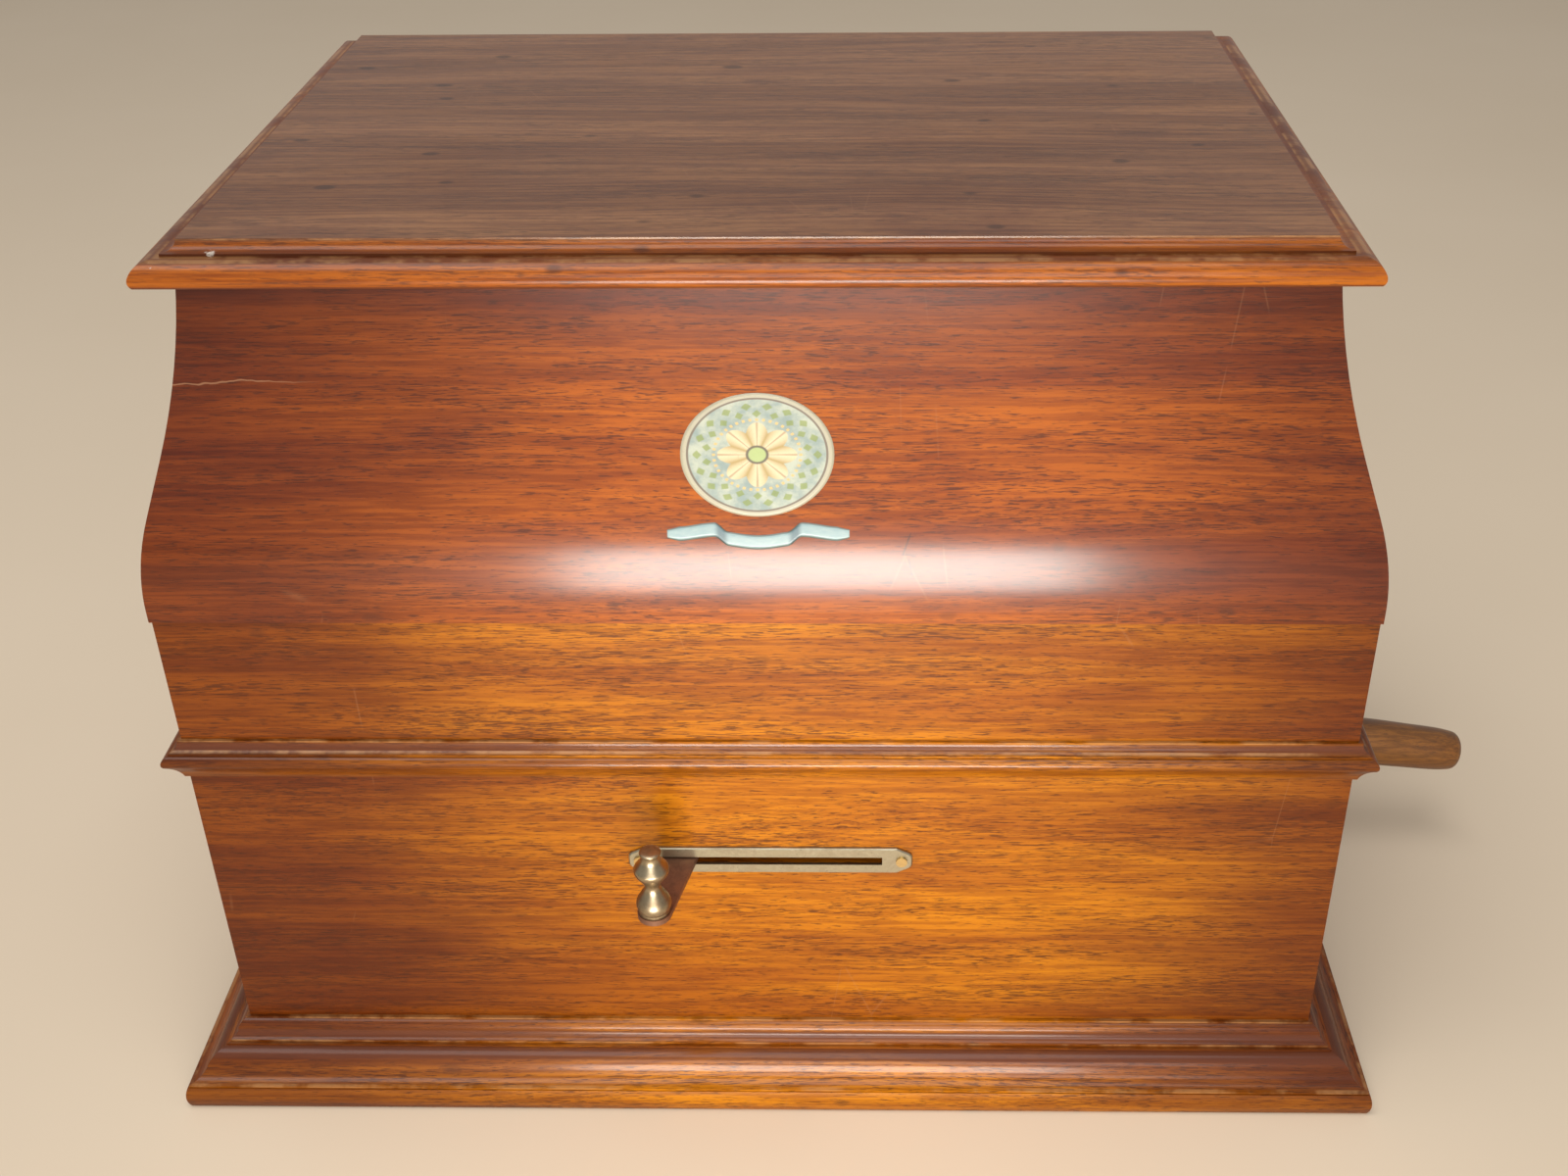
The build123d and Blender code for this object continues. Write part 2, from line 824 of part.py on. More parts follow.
with BuildPart() as motor_top_plate:
    with BuildSketch(Plane.XY.offset(top_plate_underside)):
        with Locations(((motor_right - motor_left) / 2, (motor_back - motor_front) / 2)):
            RectangleRounded(motor_right + motor_left, motor_front + motor_back, pillar_inset)
        Circle(spindle_radius + running_fit, mode=Mode.SUBTRACT)
        with Locations(barrel_place, middle_place):
            Circle(journal_radius + running_fit, mode=Mode.SUBTRACT)
        with Locations(*pillar_places):
            Circle(bolt_radius, mode=Mode.SUBTRACT)
    extrude(amount=motor_plate)
save(motor_top_plate.part, "motor_top_plate")

with BuildPart() as motor_bottom_plate:
    with BuildSketch(Plane.XY.offset(bottom_plate_top - motor_plate)):
        with Locations(((motor_right - motor_left) / 2, (motor_back - motor_front) / 2)):
            RectangleRounded(motor_right + motor_left, motor_front + motor_back, pillar_inset)
        with Locations(barrel_place, middle_place):
            Circle(journal_radius + running_fit, mode=Mode.SUBTRACT)
        with Locations(*pillar_places):
            Circle(bolt_radius, mode=Mode.SUBTRACT)
    extrude(amount=motor_plate)
    with BuildSketch(Plane.XY.offset(bottom_plate_top)):
        Circle(column_radius)
    extrude(amount=hub_seat - bottom_plate_top)
    with BuildSketch(Plane.XY.offset(hub_seat)):
        Circle(column_neck_radius)
    extrude(amount=lever_thickness + lever_neck_rise)
    with BuildSketch(Plane.XY.offset(spindle_bottom)):
        Circle(spindle_radius + running_fit)
    extrude(amount=hub_seat + lever_thickness + lever_neck_rise - spindle_bottom, mode=Mode.SUBTRACT)
save(motor_bottom_plate.part, "motor_bottom_plate")

with BuildPart() as motor_pillars:
    with BuildSketch(Plane.XY.offset(bottom_plate_top)):
        with Locations(*pillar_places):
            Circle(pillar_radius)
            Circle(bolt_radius, mode=Mode.SUBTRACT)
    extrude(amount=plate_gap)
save(motor_pillars.part, "motor_pillars")

with BuildPart() as motor_bolts:
    with BuildSketch(Plane.XY.offset(board_top)):
        with Locations(*pillar_places):
            Circle(bolt_head_radius)
    extrude(amount=bolt_head_height)
    with BuildSketch(Plane.XY.offset(board_top)):
        with Locations(*pillar_places):
            Circle(bolt_radius)
    extrude(amount=-(board_thickness + motor_plate + 2 * pillar_radius))
    with BuildSketch(Plane.XY.offset(bottom_plate_top - motor_plate)):
        with Locations(*pillar_places):
            Circle(bolt_head_radius)
    extrude(amount=-bolt_head_height)
    with BuildSketch(Plane.XY.offset(bottom_plate_top - motor_plate)):
        with Locations(*pillar_places):
            Circle(bolt_radius)
    extrude(amount=motor_plate + 2 * pillar_radius)
save(motor_bolts.part, "motor_bolts")

# Spring barrel with the great wheel round its rim, its cover, spring and arbor
with BuildPart() as spring_barrel:
    with BuildSketch(Plane.XY.offset(barrel_bottom)):
        with Locations(barrel_place):
            Circle(barrel_radius)
            Circle(arbor_radius + running_fit, mode=Mode.SUBTRACT)
    extrude(amount=barrel_wall)
    with BuildSketch(Plane.XY.offset(barrel_bottom)):
        with Locations(barrel_place):
            Circle(barrel_radius)
            Circle(barrel_radius - barrel_wall, mode=Mode.SUBTRACT)
    extrude(amount=barrel_height - barrel_wall)
    with BuildSketch(Plane.XY.offset(great_bottom)):
        with Locations(barrel_place):
            Polygon(*tooth_outline(great_teeth, great_module, to_middle, tooth_slack), align=None)
            Circle(barrel_radius - barrel_wall, mode=Mode.SUBTRACT)
    extrude(amount=great_width)
save(spring_barrel.part, "spring_barrel")

with BuildPart() as barrel_cover:
    with BuildSketch(Plane.XY.offset(barrel_top - barrel_wall)):
        with Locations(barrel_place):
            Circle(barrel_radius)
            Circle(arbor_radius + running_fit, mode=Mode.SUBTRACT)
    extrude(amount=barrel_wall)
save(barrel_cover.part, "barrel_cover")


def spiral(radius_out, radius_in, turns):
    """Points of an even spiral, sixteen to a turn."""
    count = 16 * turns
    return [
        (
            barrel_offset + (radius_out + (radius_in - radius_out) * k / count) * cos(pi * k / 8),
            (radius_out + (radius_in - radius_out) * k / count) * sin(pi * k / 8),
        )
        for k in range(count + 1)
    ]


spring_outside = barrel_radius - barrel_wall - spring_gap
spring_inside = arbor_radius + spring_hub

with BuildPart() as mainspring:
    with BuildSketch(Plane.XY.offset(barrel_bottom + barrel_wall + spring_lift)):
        with BuildLine():
            outside = Spline(*spiral(spring_outside, spring_inside, spring_turns))
            inside = Spline(
                *spiral(
                    spring_outside - spring_thickness,
                    spring_inside - spring_thickness,
                    spring_turns,
                )
            )
            Line(outside @ 0, inside @ 0)
            Line(outside @ 1, inside @ 1)
        make_face()
    extrude(amount=barrel_height - 2 * (barrel_wall + spring_lift))
save(mainspring.part, "mainspring")

arbor_top = top_plate_underside + motor_plate
arbor_foot = bottom_plate_top - motor_plate
crown_pitch_radius = crown_module * crown_teeth / 2
crown_pitch_height = winding_height + crown_module * crown_pinion_teeth / 2
crown_root = crown_pitch_height + dedendum * crown_module
crown_disc_radius = crown_pitch_radius + crown_width / 2 + crown_rim

with BuildPart() as spring_arbor:
    with BuildSketch(Plane.XY.offset(arbor_foot)):
        with Locations(barrel_place):
            Circle(journal_radius)
    extrude(amount=arbor_top - arbor_foot)
    with BuildSketch(Plane.XY.offset(bottom_plate_top + shoulder_gap)):
        with Locations(barrel_place):
            Circle(arbor_radius)
    extrude(amount=plate_gap - 2 * shoulder_gap)
save(spring_arbor.part, "spring_arbor")

# Crown wheel on the spring arbor, its teeth pointing down at the winding pinion
crown_pitch_half = (pi * crown_module - 2 * crown_slack) / 4
crown_tip_half = crown_pitch_half - addendum * crown_module * tan(pressure_angle)
crown_root_half = crown_pitch_half + dedendum * crown_module * tan(pressure_angle)
crown_tip = crown_pitch_height - addendum * crown_module

with BuildPart() as winding_wheel:
    for tooth in range(crown_teeth):
        angle = radians(360 * tooth / crown_teeth)
        outward = (cos(angle), sin(angle), 0)
        near = crown_pitch_radius - crown_width / 2
        with BuildSketch(
            Plane(
                (barrel_offset + near * cos(angle), near * sin(angle), 0),
                x_dir=(-sin(angle), cos(angle), 0),
                z_dir=outward,
            )
        ):
            Polygon(
                (-crown_tip_half, crown_tip),
                (crown_tip_half, crown_tip),
                (crown_root_half, crown_root + tooth_root_overlap),
                (-crown_root_half, crown_root + tooth_root_overlap),
                align=None,
            )
        extrude(amount=crown_width)
    with BuildSketch(Plane.XY.offset(crown_root)):
        with Locations(barrel_place):
            Circle(crown_disc_radius)
    extrude(amount=crown_thickness)
    with BuildSketch(Plane.XY.offset(crown_root)):
        with Locations(barrel_place):
            Circle(arbor_radius)
    extrude(amount=crown_thickness, mode=Mode.SUBTRACT)
save(winding_wheel.part, "winding_wheel")

# Intermediate wheel and pinion on one arbor
with BuildPart() as intermediate_gear:
    with BuildSketch(Plane.XY.offset(arbor_foot)):
        with Locations(middle_place):
            Circle(journal_radius)
    extrude(amount=arbor_top - arbor_foot)
    with BuildSketch(Plane.XY.offset(bottom_plate_top + shoulder_gap)):
        with Locations(middle_place):
            Circle(journal_radius + arbor_shoulder)
    extrude(amount=plate_gap - 2 * shoulder_gap)
    with BuildSketch(Plane.XY.offset(great_bottom - pinion_margin)):
        with Locations(middle_place):
            Polygon(
                *tooth_outline(
                    pinion_teeth, great_module, to_middle + 180 + 180 / pinion_teeth, tooth_slack
                ),
                align=None,
            )
    extrude(amount=great_width + 2 * pinion_margin)
    with BuildSketch(Plane.XY.offset(wheel_bottom)):
        with Locations(middle_place):
            Polygon(
                *tooth_outline(wheel_teeth, wheel_module, to_spindle, tooth_slack), align=None
            )
    extrude(amount=wheel_width)
save(intermediate_gear.part, "intermediate_gear")

# Turntable spindle with its pinion, and the helical wheel that drives the governor
spindle_top = board_top + platter_gap + platter_depth + spindle_tip
with BuildPart() as spindle:
    with BuildSketch(Plane.XY.offset(spindle_bottom)):
        Circle(spindle_radius)
    extrude(amount=spindle_top - spindle_bottom)
    chamfer(spindle.edges().group_by(Axis.Z)[-1], spindle_radius / 2)
    with BuildSketch(Plane.XY.offset(wheel_bottom - wheel_overlap)):
        Polygon(
            *tooth_outline(
                spindle_teeth, wheel_module, to_spindle - 180 + 180 / spindle_teeth, tooth_slack
            ),
            align=None,
        )
    extrude(amount=wheel_width + 2 * wheel_overlap)
save(spindle.part, "spindle")

worm_module = worm_radius * 2 / worm_starts
worm_lead = worm_starts * pi * wheel_module
helix_angle = atan(worm_lead / (2 * pi * worm_radius))
governor_wheel_radius = wheel_module * worm_wheel_teeth / 2
governor_offset = -(governor_wheel_radius + worm_radius)
governor_wheel_bottom = governor_height - worm_wheel_width / 2
wheel_twist = degrees(worm_wheel_width * tan(helix_angle) / governor_wheel_radius)

with BuildSketch() as helical_teeth:
    Polygon(
        *tooth_outline(worm_wheel_teeth, wheel_module, -wheel_twist / 2, tooth_slack),
        align=None,
    )
helical_wheel = Solid.extrude_linear_with_rotation(
    helical_teeth.face(), (0, 0, 0), (0, 0, worm_wheel_width), wheel_twist
)
with BuildPart() as governor_wheel:
    add(helical_wheel.moved(Location((0, 0, governor_wheel_bottom))))
    with BuildSketch(Plane.XY.offset(governor_wheel_bottom)):
        Circle(spindle_radius)
    extrude(amount=worm_wheel_width, mode=Mode.SUBTRACT)
save(governor_wheel.part, "governor_wheel")

# Governor: worm shaft between two brackets, three sprung weights and a brake disc
governor_plane = Plane(
    (governor_offset, -governor_front, governor_height), x_dir=(0, 0, 1), z_dir=(0, 1, 0)
)
governor_length = governor_front + governor_back
governor_journal_radius = governor_shaft_radius - journal_step
worm_start = governor_front - worm_length / 2
weight_middle = governor_front - weight_place
disc_start = governor_front - disc_place - disc_thickness / 2
spring_collars = (weight_middle - collar_spacing / 2, weight_middle + collar_spacing / 2)

with BuildSketch() as worm_teeth:
    Polygon(*tooth_outline(worm_starts, worm_module, worm_turn, worm_slack), align=None)
    Circle(worm_radius + addendum * wheel_module, mode=Mode.INTERSECT)
    Circle(worm_radius - dedendum * wheel_module)
worm = Solid.extrude_linear_with_rotation(
    worm_teeth.face(), (0, 0, 0), (0, 0, worm_length), 360 * worm_length / worm_lead
)
with BuildPart() as governor_shaft:
    with BuildSketch(governor_plane.offset(-bracket_thickness)):
        Circle(governor_journal_radius)
    extrude(amount=governor_length + 2 * bracket_thickness)
    with BuildSketch(governor_plane.offset(shoulder_gap)):
        Circle(governor_shaft_radius)
    extrude(amount=governor_length - 2 * shoulder_gap)
    for collar in spring_collars:
        with BuildSketch(governor_plane.offset(collar - collar_width / 2)):
            Circle(collar_radius)
        extrude(amount=collar_width)
    add(governor_plane.offset(worm_start).location * worm)
save(governor_shaft.part, "governor_shaft")

with BuildPart() as governor_disc:
    with BuildSketch(governor_plane.offset(disc_start)):
        Circle(disc_radius)
        Circle(governor_shaft_radius, mode=Mode.SUBTRACT)
    extrude(amount=disc_thickness)
save(governor_disc.part, "governor_disc")

weight_angles = [360 * k / 3 + 60 for k in range(3)]


def around_governor(angle):
    """Upright plane through the governor's axis, x outwards and y along the shaft."""
    out = (sin(radians(angle)), 0, cos(radians(angle)))
    return Plane(
        (governor_offset, -governor_front, governor_height),
        x_dir=out,
        z_dir=(-out[2], 0, out[0]),
    )


# Leaf springs from collar to collar, bowed out, each with its round weight
bow_foot = collar_radius
bow_rise = weight_orbit - weight_radius - bow_foot
with BuildPart() as governor_weights:
    for angle in weight_angles:
        with BuildSketch(around_governor(angle)):
            with BuildLine():
                start, end = spring_collars
                flat = weight_radius / 2
                inner = Polyline(
                    (bow_foot, start),
                    (bow_foot + bow_rise, weight_middle - flat),
                    (bow_foot + bow_rise, weight_middle + flat),
                    (bow_foot, end),
                )
                outer = Polyline(
                    (bow_foot + bow_thickness, start),
                    (bow_foot + bow_rise + bow_thickness, weight_middle - flat),
                    (bow_foot + bow_rise + bow_thickness, weight_middle + flat),
                    (bow_foot + bow_thickness, end),
                )
                Line(inner @ 0, outer @ 0)
                Line(inner @ 1, outer @ 1)
            make_face()
        extrude(amount=bow_width / 2, both=True)
    for angle in weight_angles:
        with Locations(around_governor(angle).from_local_coords((weight_orbit, weight_middle, 0))):
            Sphere(weight_radius)
    with BuildSketch(governor_plane):
        Circle(collar_radius)
    extrude(amount=governor_length, mode=Mode.SUBTRACT)
save(governor_weights.part, "governor_weights")

# Brackets under the top plate for the governor shaft and the winding arbor
with BuildPart() as bearing_brackets:
    for start in (-bracket_thickness, governor_length):
        with BuildSketch(governor_plane.offset(start)):
            with Locations((governor_drop / 2 - bracket_drop / 2, 0)):
                Rectangle(governor_drop + bracket_drop, 2 * (bracket_drop + 1))
            Circle(governor_journal_radius + running_fit, mode=Mode.SUBTRACT)
        extrude(amount=bracket_thickness)
    for start in winding_bracket_places:
        with BuildSketch(Plane((start, 0, winding_height), x_dir=(0, 0, 1), z_dir=(1, 0, 0))):
            with Locations((winding_drop / 2 - winding_bracket_drop / 2, 0)):
                Rectangle(winding_drop + winding_bracket_drop, 2 * (winding_bracket_drop - 1))
            Circle(arbor_radius + running_fit, mode=Mode.SUBTRACT)
        extrude(amount=winding_bracket_width)
save(bearing_brackets.part, "bearing_brackets")

# Winding arbor with its pinion, its collar and the slotted socket for the crank
arbor_start = barrel_offset + crown_pitch_radius - crown_width / 2 - arbor_tail
socket_start = coupling_place - socket_depth / 2 - socket_floor
arbor_plane = Plane((0, 0, winding_height), x_dir=(0, 1, 0), z_dir=(1, 0, 0))

with BuildPart() as winding_arbor:
    with BuildSketch(arbor_plane.offset(arbor_start)):
        Circle(arbor_radius)
    extrude(amount=socket_start - arbor_start)
    with BuildSketch(arbor_plane.offset(barrel_offset + crown_pitch_radius - crown_width / 2)):
        Polygon(
            *tooth_outline(
                crown_pinion_teeth, crown_module, 90 + 180 / crown_pinion_teeth, crown_slack
            ),
            align=None,
        )
    extrude(amount=crown_width)
    with BuildSketch(arbor_plane.offset(winding_bracket_places[0] + winding_bracket_width + 1)):
        Circle(arbor_radius + arbor_collar_rim)
    extrude(
        amount=winding_bracket_places[1] - winding_bracket_places[0] - winding_bracket_width - 2
    )
    with BuildSketch(arbor_plane.offset(socket_start)):
        Circle(socket_radius)
    extrude(amount=socket_depth + socket_floor)
    with BuildSketch(arbor_plane.offset(socket_start + socket_floor)):
        Circle(socket_bore)
    extrude(amount=socket_depth, mode=Mode.SUBTRACT)
    with BuildSketch(arbor_plane.offset(coupling_place - pin_slot_depth)):
        Rectangle(2 * socket_radius + 1, pin_slot_width)
    extrude(amount=socket_depth, mode=Mode.SUBTRACT)
save(winding_arbor.part, "winding_arbor")

# Crank: the rod with its cross pin, the arm and the pin for the grip, along the drooping axis
tilt = radians(crank_tilt)
crank_plane = Plane(
    (coupling_place, 0, winding_height),
    x_dir=(-sin(tilt), 0, -cos(tilt)),
    z_dir=(cos(tilt), 0, -sin(tilt)),
)
arm_start = crank_arm_place - crank_arm_thickness / 2

with BuildPart() as crank:
    with BuildSketch(crank_plane.offset(-crank_tail)):
        Circle(crank_rod_radius)
    extrude(amount=arm_start + crank_tail)
    with BuildSketch(crank_plane.offset(arm_start)):
        with Locations((crank_throw / 2, 0)):
            SlotCenterToCenter(crank_throw, crank_arm_width)
    extrude(amount=crank_arm_thickness)
    fillet(crank.faces().group_by(Axis.X)[-1].edges(), crank_arm_fillet)
    with BuildSketch(crank_plane.offset(arm_start + crank_arm_thickness)):
        with Locations((crank_throw, 0)):
            Circle(grip_pin_radius)
    extrude(amount=grip_end - grip_blind - arm_start - crank_arm_thickness)
    with BuildSketch(Plane.XZ.offset(-cross_pin_length / 2)):
        with Locations((coupling_place, winding_height)):
            Circle(cross_pin_radius)
    extrude(amount=cross_pin_length)
save(crank.part, "crank")

grip_plane = Plane(
    crank_plane.from_local_coords((crank_throw, 0, 0)),
    x_dir=crank_plane.x_dir,
    z_dir=-crank_plane.y_dir,
)
with BuildPart() as crank_grip:
    with BuildSketch(grip_plane):
        with BuildLine():
            bore = grip_pin_radius + running_fit
            side = Spline(
                (grip_end_radius, grip_start + grip_rounding),
                (grip_radius, grip_swell),
                (grip_end_radius + grip_dome_overhang, grip_end - grip_dome),
                tangents=((0.25, 1), (-0.2, 1)),
            )
            dome = Spline(side @ 1, (0, grip_end), tangents=(side % 1, (-1, 0)))
            bore_end = grip_end - grip_blind + shoulder_gap
            inner_edge = (grip_end_radius - grip_rounding, grip_start)
            Polyline(dome @ 1, (0, bore_end), (bore, bore_end), (bore, grip_start), inner_edge)
            Line(inner_edge, side @ 0)
        make_face()
    revolve(axis=Axis(grip_plane.origin, grip_plane.y_dir))
save(crank_grip.part, "crank_grip")

# Speed lever on the motor's column, its knob, and the brake pad on an upturned post
lever_plane = Plane.XY.offset(lever_height - lever_thickness / 2)
lever_angle = -90 - lever_turn
knob_place = (lever_reach * cos(radians(lever_angle)), lever_reach * sin(radians(lever_angle)))

with BuildPart() as speed_lever:
    with BuildSketch(lever_plane):
        Circle(lever_hub_radius)
        with PolarLocations(lever_reach / 2, 1, start_angle=lever_angle):
            SlotCenterToCenter(lever_reach, lever_width)
        Circle(column_neck_radius + 2 * running_fit, mode=Mode.SUBTRACT)
        with Locations(knob_place):
            Circle(knob_stud_radius, mode=Mode.SUBTRACT)
    extrude(amount=lever_thickness)
    with BuildSketch(lever_plane):
        with Locations(lever_post):
            Rectangle(lever_post_width, lever_post_thickness)
    extrude(amount=lever_thickness + lever_post_height)
save(speed_lever.part, "speed_lever")

with BuildPart() as brake_pad:
    with BuildSketch(Plane.XY.offset(governor_height - lever_post_width / 2)):
        with Locations((lever_post[0], lever_post[1] + lever_post_thickness)):
            Rectangle(lever_post_width, lever_post_thickness)
    extrude(amount=2 * lever_post_width)
save(brake_pad.part, "brake_pad")

knob_foot = lever_height + lever_thickness / 2
knob_plane = Plane((*knob_place, knob_foot), x_dir=(1, 0, 0), z_dir=(0, -1, 0))
with BuildPart() as lever_knob:
    with BuildSketch(knob_plane):
        with BuildLine():
            stud_foot = -lever_thickness - knob_stud_head
            Polyline(
                (0, knob_height),
                (0, stud_foot),
                (1.5 * knob_stud_radius, stud_foot),
                (1.5 * knob_stud_radius, -lever_thickness),
                (knob_stud_radius, -lever_thickness),
                (knob_stud_radius, 0),
                (knob_base_radius, 0),
                (knob_base_radius, knob_ring),
            )
            Spline(
                (knob_base_radius, knob_ring),
                (knob_bulb_radius, knob_bulb_height),
                (knob_waist_radius, knob_waist_height),
                (knob_bulb_radius, knob_head_height),
                (knob_neck_radius, knob_neck_height),
                (knob_tip_radius, knob_tip_height),
                (0, knob_height),
                tangents=((0.6, 1), (-1, 0)),
            )
        make_face()
    revolve(axis=Axis(knob_plane.origin, (0, 0, 1)))
save(lever_knob.part, "lever_knob")

# Turntable with a turned rim, and its felt
platter_top = board_top + platter_gap + platter_depth
with BuildPart() as turntable:
    with BuildSketch(Plane.XZ):
        with BuildLine():
            rim = platter_radius - platter_thickness
            Polyline(
                (spindle_radius, platter_top),
                (rim, platter_top),
                (platter_radius, platter_top - platter_thickness),
                (platter_radius, platter_top - platter_depth),
                (rim, platter_top - platter_depth),
                (rim, platter_top - platter_thickness),
                (platter_hub_radius, platter_top - platter_thickness),
                (platter_hub_radius, platter_top - platter_depth),
                (spindle_radius, platter_top - platter_depth),
                close=True,
            )
        make_face()
    revolve(axis=Axis.Z)
save(turntable.part, "turntable")

with BuildPart() as turntable_felt:
    with BuildSketch(Plane.XY.offset(platter_top)):
        Circle(platter_radius - platter_thickness - felt_inset)
        Circle(spindle_radius, mode=Mode.SUBTRACT)
    extrude(amount=felt_thickness)
save(turntable_felt.part, "turntable_felt")

# Tonearm base: a flanged post with a sound channel that reaches down into the throat
base_plane = Plane((*arm_base, 0), x_dir=(1, 0, 0), z_dir=(0, -1, 0))
base_axis = Axis((*arm_base, 0), (0, 0, 1))
neck_bore = neck_radius - crook_wall
turret_foot = board_top + neck_height - neck_engagement + turret_gap

with BuildPart() as tonearm_base:
    with BuildSketch(base_plane):
        with BuildLine():
            tube = throat_radius - base_tube_gap
            Polyline(
                (neck_bore, board_underside - base_tube_depth),
                (tube, board_underside - base_tube_depth),
                (tube, board_top),
                (flange_radius, board_top),
                (flange_radius, board_top + flange_thickness - flange_bevel / 2),
                (flange_radius - flange_bevel, board_top + flange_thickness),
                (turret_radius + base_neck_fillet, board_top + flange_thickness),
                (turret_radius - base_neck_step, board_top + flange_thickness + base_neck_rise),
                (turret_radius - base_neck_step, turret_foot - turret_gap),
                (neck_radius, turret_foot - turret_gap),
                (neck_radius, board_top + neck_height),
                (neck_bore, board_top + neck_height),
                close=True,
            )
        make_face()
    revolve(axis=base_axis)
save(tonearm_base.part, "tonearm_base")

# Tonearm: a turret round the neck, a tapered tube and two ears with a pin
arm_level = board_top + arm_height
turret_top = arm_level + arm_root_radius + turret_head
arm_plane = Plane((arm_base[0], arm_base[1], arm_level), x_dir=(1, 0, 0), z_dir=(0, -1, 0))
tube_length = arm_base[1] - arm_end
pivot = (arm_base[0], arm_end - lift_drop, arm_level)

with BuildPart() as tonearm:
    with BuildSketch(Plane.XY.offset(turret_foot)):
        with Locations(arm_base):
            Circle(turret_radius)
    extrude(amount=turret_top - turret_foot)
    fillet(tonearm.edges().group_by(Axis.Z)[-1], turret_rounding)
    with BuildSketch(arm_plane):
        Circle(arm_root_radius)
    with BuildSketch(arm_plane.offset(tube_length)):
        Circle(arm_tip_radius)
    loft()
    with BuildSketch(arm_plane.offset(tube_length - collar_length)):
        Circle(knuckle_half_width + turret_gap + ear_thickness)
    extrude(amount=collar_length)
    with BuildSketch(arm_plane.offset(tube_length - ear_root)):
        for hand in (-1, 1):
            with Locations((hand * (knuckle_half_width + turret_gap + ear_thickness / 2), 0)):
                Rectangle(ear_thickness, 2 * ear_half_height)
    extrude(amount=ear_reach + ear_root)
    with BuildSketch(arm_plane):
        Circle(arm_root_radius - arm_wall)
    with BuildSketch(arm_plane.offset(tube_length)):
        Circle(arm_tip_radius - arm_wall)
    loft(mode=Mode.SUBTRACT)
    with BuildSketch(Plane.XY.offset(turret_foot)):
        with Locations(arm_base):
            Circle(neck_radius + 2 * running_fit)
    extrude(amount=turret_top - turret_crown - turret_foot, mode=Mode.SUBTRACT)
    with BuildSketch(Plane.YZ.offset(pivot[0])):
        with Locations((pivot[1], pivot[2])):
            Circle(arm_pin_radius)
    extrude(amount=knuckle_half_width + turret_gap + ear_thickness + arm_pin_end, both=True)
save(tonearm.part, "tonearm")

# Sound box on its crook
box_face = pivot[0] + box_offset - box_depth / 2
box_centre = (pivot[1] - crook_reach, arm_level)
stylus_plane = Plane(
    (box_face, *box_centre),
    x_dir=(0, -cos(radians(stylus_turn)), -sin(radians(stylus_turn))),
    z_dir=(1, 0, 0),
)

with BuildPart() as soundbox:
    with BuildLine() as crook_line:
        run = Line(pivot, (pivot[0], box_centre[0] + crook_bend, arm_level))
        turn = ThreePointArc(
            run @ 1,
            (
                pivot[0] + crook_bend * (1 - cos(pi / 4)),
                box_centre[0] + crook_bend * (1 - sin(pi / 4)),
                arm_level,
            ),
            (pivot[0] + crook_bend, box_centre[0], arm_level),
        )
        Line(turn @ 1, (box_face + 0.5, box_centre[0], arm_level))
    with BuildSketch(Plane(pivot, x_dir=(1, 0, 0), z_dir=(0, -1, 0))):
        Circle(crook_radius)
    sweep(path=crook_line.wires()[0])
    with BuildSketch(Plane.YZ.offset(pivot[0] - knuckle_half_width)):
        with Locations((pivot[1], pivot[2])):
            Circle(crook_radius)
    extrude(amount=2 * knuckle_half_width)
    with BuildSketch(stylus_plane):
        Circle(box_radius)
    extrude(amount=box_depth)
    fillet(soundbox.edges().filter_by(GeomType.CIRCLE).group_by(SortBy.LENGTH)[-1], 1)
    with BuildSketch(stylus_plane.offset(box_back)):
        Circle(box_radius - box_wall)
    extrude(amount=box_depth, mode=Mode.SUBTRACT)
    with BuildSketch(Plane.YZ.offset(pivot[0] - knuckle_half_width)):
        with Locations((pivot[1], pivot[2])):
            Circle(arm_pin_radius + running_fit)
    extrude(amount=2 * knuckle_half_width, mode=Mode.SUBTRACT)
save(soundbox.part, "soundbox")

with BuildPart() as diaphragm:
    with BuildSketch(stylus_plane.offset(box_depth - diaphragm_depth)):
        Circle(box_radius - box_wall)
    extrude(amount=diaphragm_thickness)
save(diaphragm.part, "diaphragm")

bar_level = box_depth - diaphragm_depth + diaphragm_thickness
with BuildPart() as stylus_bar:
    with BuildSketch(stylus_plane.offset(bar_level)):
        Circle(1.5 * stylus_bar_width)
    extrude(amount=stylus_foot)
    with BuildSketch(stylus_plane.offset(box_depth)):
        with Locations((box_radius / 2, 0)):
            Rectangle(box_radius + stylus_bar_overhang, stylus_bar_width)
    extrude(amount=stylus_bar_width)
    with BuildSketch(stylus_plane.offset(bar_level)):
        Rectangle(stylus_bar_width, stylus_bar_width)
    extrude(amount=box_depth - bar_level + stylus_bar_width)
    chuck_plane = Plane(
        stylus_plane.from_local_coords((box_radius, 0, box_depth + chuck_radius)),
        x_dir=(1, 0, 0),
        z_dir=stylus_plane.x_dir,
    )
    with BuildSketch(chuck_plane):
        Circle(chuck_radius)
    extrude(amount=chuck_length)
    with BuildSketch(chuck_plane):
        Circle(needle_radius)
    extrude(amount=stylus_reach - box_radius)
save(stylus_bar.part, "stylus_bar")

